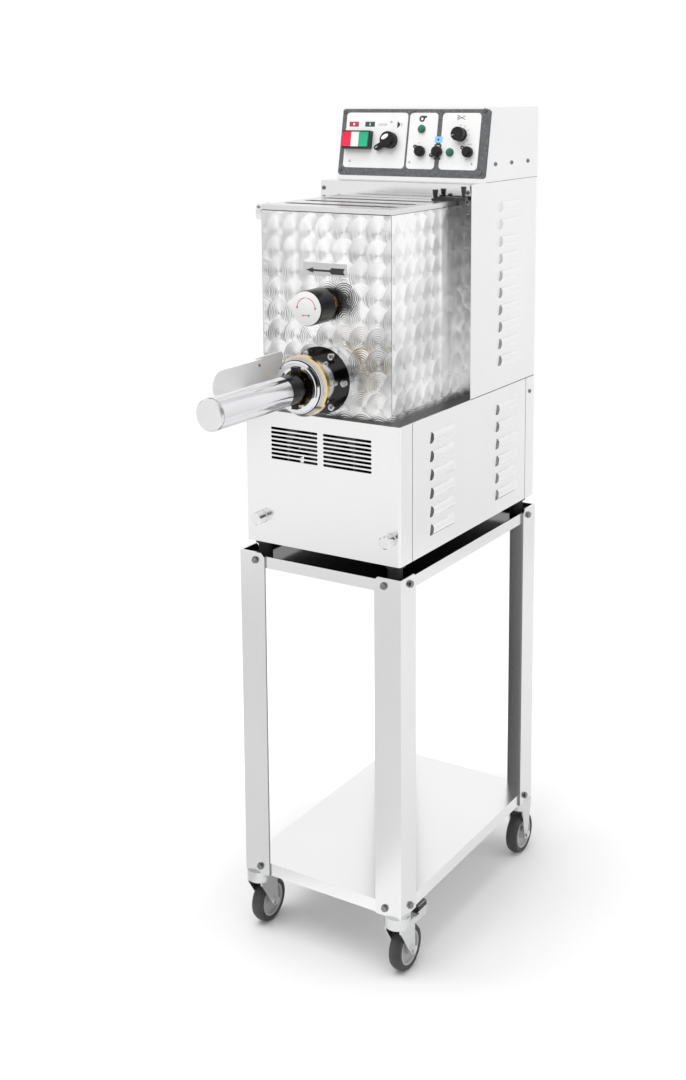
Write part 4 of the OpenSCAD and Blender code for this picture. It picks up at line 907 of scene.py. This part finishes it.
tube = {"back": -100.0, "front": -262.0, "r": 22.5, "bore": 20.2, "z": 902.0, "cap": 2.0}
long = tube["back"] - tube["front"]
groove = tube["r"] - 1.5
shell = spun([(0, long - 6), (tube["bore"], long - 6), (tube["bore"], 0), (tube["r"] - 0.5, 0),
              (tube["r"], 0.5), (tube["r"], long - 3), (groove, long - 3), (groove, long - 1),
              (tube["r"] - 0.3, long - 1), (tube["r"] - 0.5, long - 0.3), (groove, long),
              (0, long)], 96)
made = piece("tubeShell", shell, finishes["chrome"], "cutter",
             [at(0, tube["back"], tube["z"], front)], 30)
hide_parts("cutter_tube")
cap = spun([(0, -0.4), (groove - 0.1, -0.4), (groove - 0.1, tube["cap"] - 0.6),
            (groove - 0.9, tube["cap"]), (0, tube["cap"])], 96)
piece("tubeCap", cap, capSteel, "cutter", places=[at(0, tube["front"], tube["z"], front)])
piece("guardScrewHeads", crossScrew(4.6, 1.6), finishes["dark_screw"], "cutter",
      [at(-55, -72.7, 931.2, along((1, 0, 0))), at(-57, -1.5, 914.5, along((1, 0, 0)))], 30)
print("head dressed")


studio = {"ambient": 0.66, "key": 58.0, "fill": 12.0, "floor": 0.93}

scene = bpy.context.scene
scene.view_settings.view_transform = "Standard"
world = bpy.data.worlds.new("studioWorld")
scene.world = world
world.use_nodes = True
sky = Net(world.node_tree)
rays = [sky.node("LightPath", out=name) for name in
        ("Is Camera Ray", "Is Glossy Ray", "Is Transmission Ray")]
seen = rays[0].math("MAXIMUM", rays[0].math("MAXIMUM", rays[0], rays[1]), rays[2])
backdrop = world.node_tree.nodes["Background"]
world.node_tree.links.new(
    sky.grey(seen * (1 - studio["ambient"]) + studio["ambient"]).socket, backdrop.inputs["Color"])


def areaLight(name, place, aim, size, power):
    lamp = bpy.data.lights.new(name, "AREA")
    lamp.shape, lamp.size, lamp.size_y, lamp.energy = "RECTANGLE", size[0], size[1], power
    made = bpy.data.objects.new(name, lamp)
    made.location = place
    made.rotation_euler = (Vector(aim) - Vector(place)).to_track_quat("-Z", "Y").to_euler()
    scene.collection.objects.link(made)
    made.visible_glossy = False
    return made


areaLight("keyLight", (-0.35, -0.9, 3.1), (0, 0, 0.6), (2.4, 2.4), studio["key"])
areaLight("fillLight", (2.2, 0.8, 1.9), (0, 0, 0.6), (1.6, 1.6), studio["fill"])

floorMaterial = bpy.data.materials.new("paleFloor")
floorMaterial.use_nodes = True
floorNet = Net(floorMaterial.node_tree)
floorShader = floorMaterial.node_tree.nodes["Principled BSDF"]
floorShader.inputs["Base Color"].default_value = rgba([studio["floor"]] * 3)
floorShader.inputs["Roughness"].default_value = 0.9
floorShader.inputs["Specular IOR Level"].default_value = 0.0
spot = floorNet.node("VectorMath", {"operation": "LENGTH"},
                     {0: floorNet.node("TexCoord", out="Object")}, "Value")
floorNet.tree.links.new(floorNet.span(spot, 1.0, 0.0, 0.9, 1.9).socket, floorShader.inputs["Alpha"])
floorSeen = floorNet.node("LightPath", out="Is Camera Ray")
lift = floorNet.span(spot, 0.0, 0.34, 0.25, 0.9)
floorNet.tree.links.new(floorNet.grey(floorSeen * lift).socket,
                        floorShader.inputs["Emission Color"])
floorShader.inputs["Emission Strength"].default_value = 1.0
bm = bmesh.new()
bmesh.ops.create_grid(bm, x_segments=8, y_segments=8, size=2.4)
floorMesh = bpy.data.meshes.new("floor")
bm.to_mesh(floorMesh)
bm.free()
floor = bpy.data.objects.new("floor", floorMesh)
floorMesh.materials.append(floorMaterial)
scene.collection.objects.link(floor)

# Cards that only metal mirrors; azimuths run from the front to the right
cards = {"frontCard": {"tone": 0.01, "azimuth": (-12.0, 44.0), "reach": (2.1, 2.1),
                       "z": (0.66, 1.75)},
         "sideCard": {"tone": 0.97, "azimuth": (118.0, 156.0), "reach": (2.0, 2.0),
                      "z": (0.0, 2.2)},
         "leftCard": {"tone": 0.12, "azimuth": (-80.0, -37.0), "reach": (1.3, 1.3),
                      "z": (0.62, 0.98)},
         "floorCard": {"tone": 0.68, "azimuth": (-85.0, -6.0), "reach": (0.3, 2.0),
                       "z": (0.004, 0.004)}}
for name, card in cards.items():
    bm = bmesh.new()
    first, last = (math.radians(turn - 90) for turn in card["azimuth"])
    ends = [bm.verts.new((reach * math.cos(first), reach * math.sin(first), z))
            for reach, z in zip(card["reach"], card["z"])]
    edge = bm.edges.new(ends)
    bmesh.ops.spin(bm, geom=ends + [edge], cent=(0, 0, 0), axis=(0, 0, 1),
                   angle=last - first, steps=16)
    mesh = bpy.data.meshes.new(name)
    bm.to_mesh(mesh)
    bm.free()
    cloth = bpy.data.materials.new(name + "Cloth")
    cloth.use_nodes = True
    clothShader = cloth.node_tree.nodes["Principled BSDF"]
    clothShader.inputs["Base Color"].default_value = rgba([card["tone"]] * 3)
    clothShader.inputs["Roughness"].default_value = 1.0
    mesh.materials.append(cloth)
    made = bpy.data.objects.new(name, mesh)
    scene.collection.objects.link(made)
    made.visible_camera = made.visible_diffuse = made.visible_shadow = False

camera = bpy.data.objects.new("camera", bpy.data.cameras.new("camera"))
view = {"place": (1.1299, -1.8213, 1.3215), "azimuth": 32.321, "pitch": 8.931, "roll": -0.436,
        "focal": 1442.60, "centreY": 315.0}
camera.data.lens = view["focal"] / 1080 * 36
camera.data.sensor_width = 36
camera.data.shift_y = -(540 - view["centreY"]) / 1080
camera.rotation_mode = "XYZ"
az, pitch, roll = (math.radians(view[k]) for k in ("azimuth", "pitch", "roll"))
camera.matrix_world = (Matrix.Translation(view["place"]) @ Matrix.Rotation(az, 4, "Z")
                       @ Matrix.Rotation(math.pi / 2 - pitch, 4, "X")
                       @ Matrix.Rotation(roll, 4, "Z"))
camera.data.clip_start, camera.data.clip_end = 0.05, 50
scene.collection.objects.link(camera)
scene.camera = camera

print("scene ready")
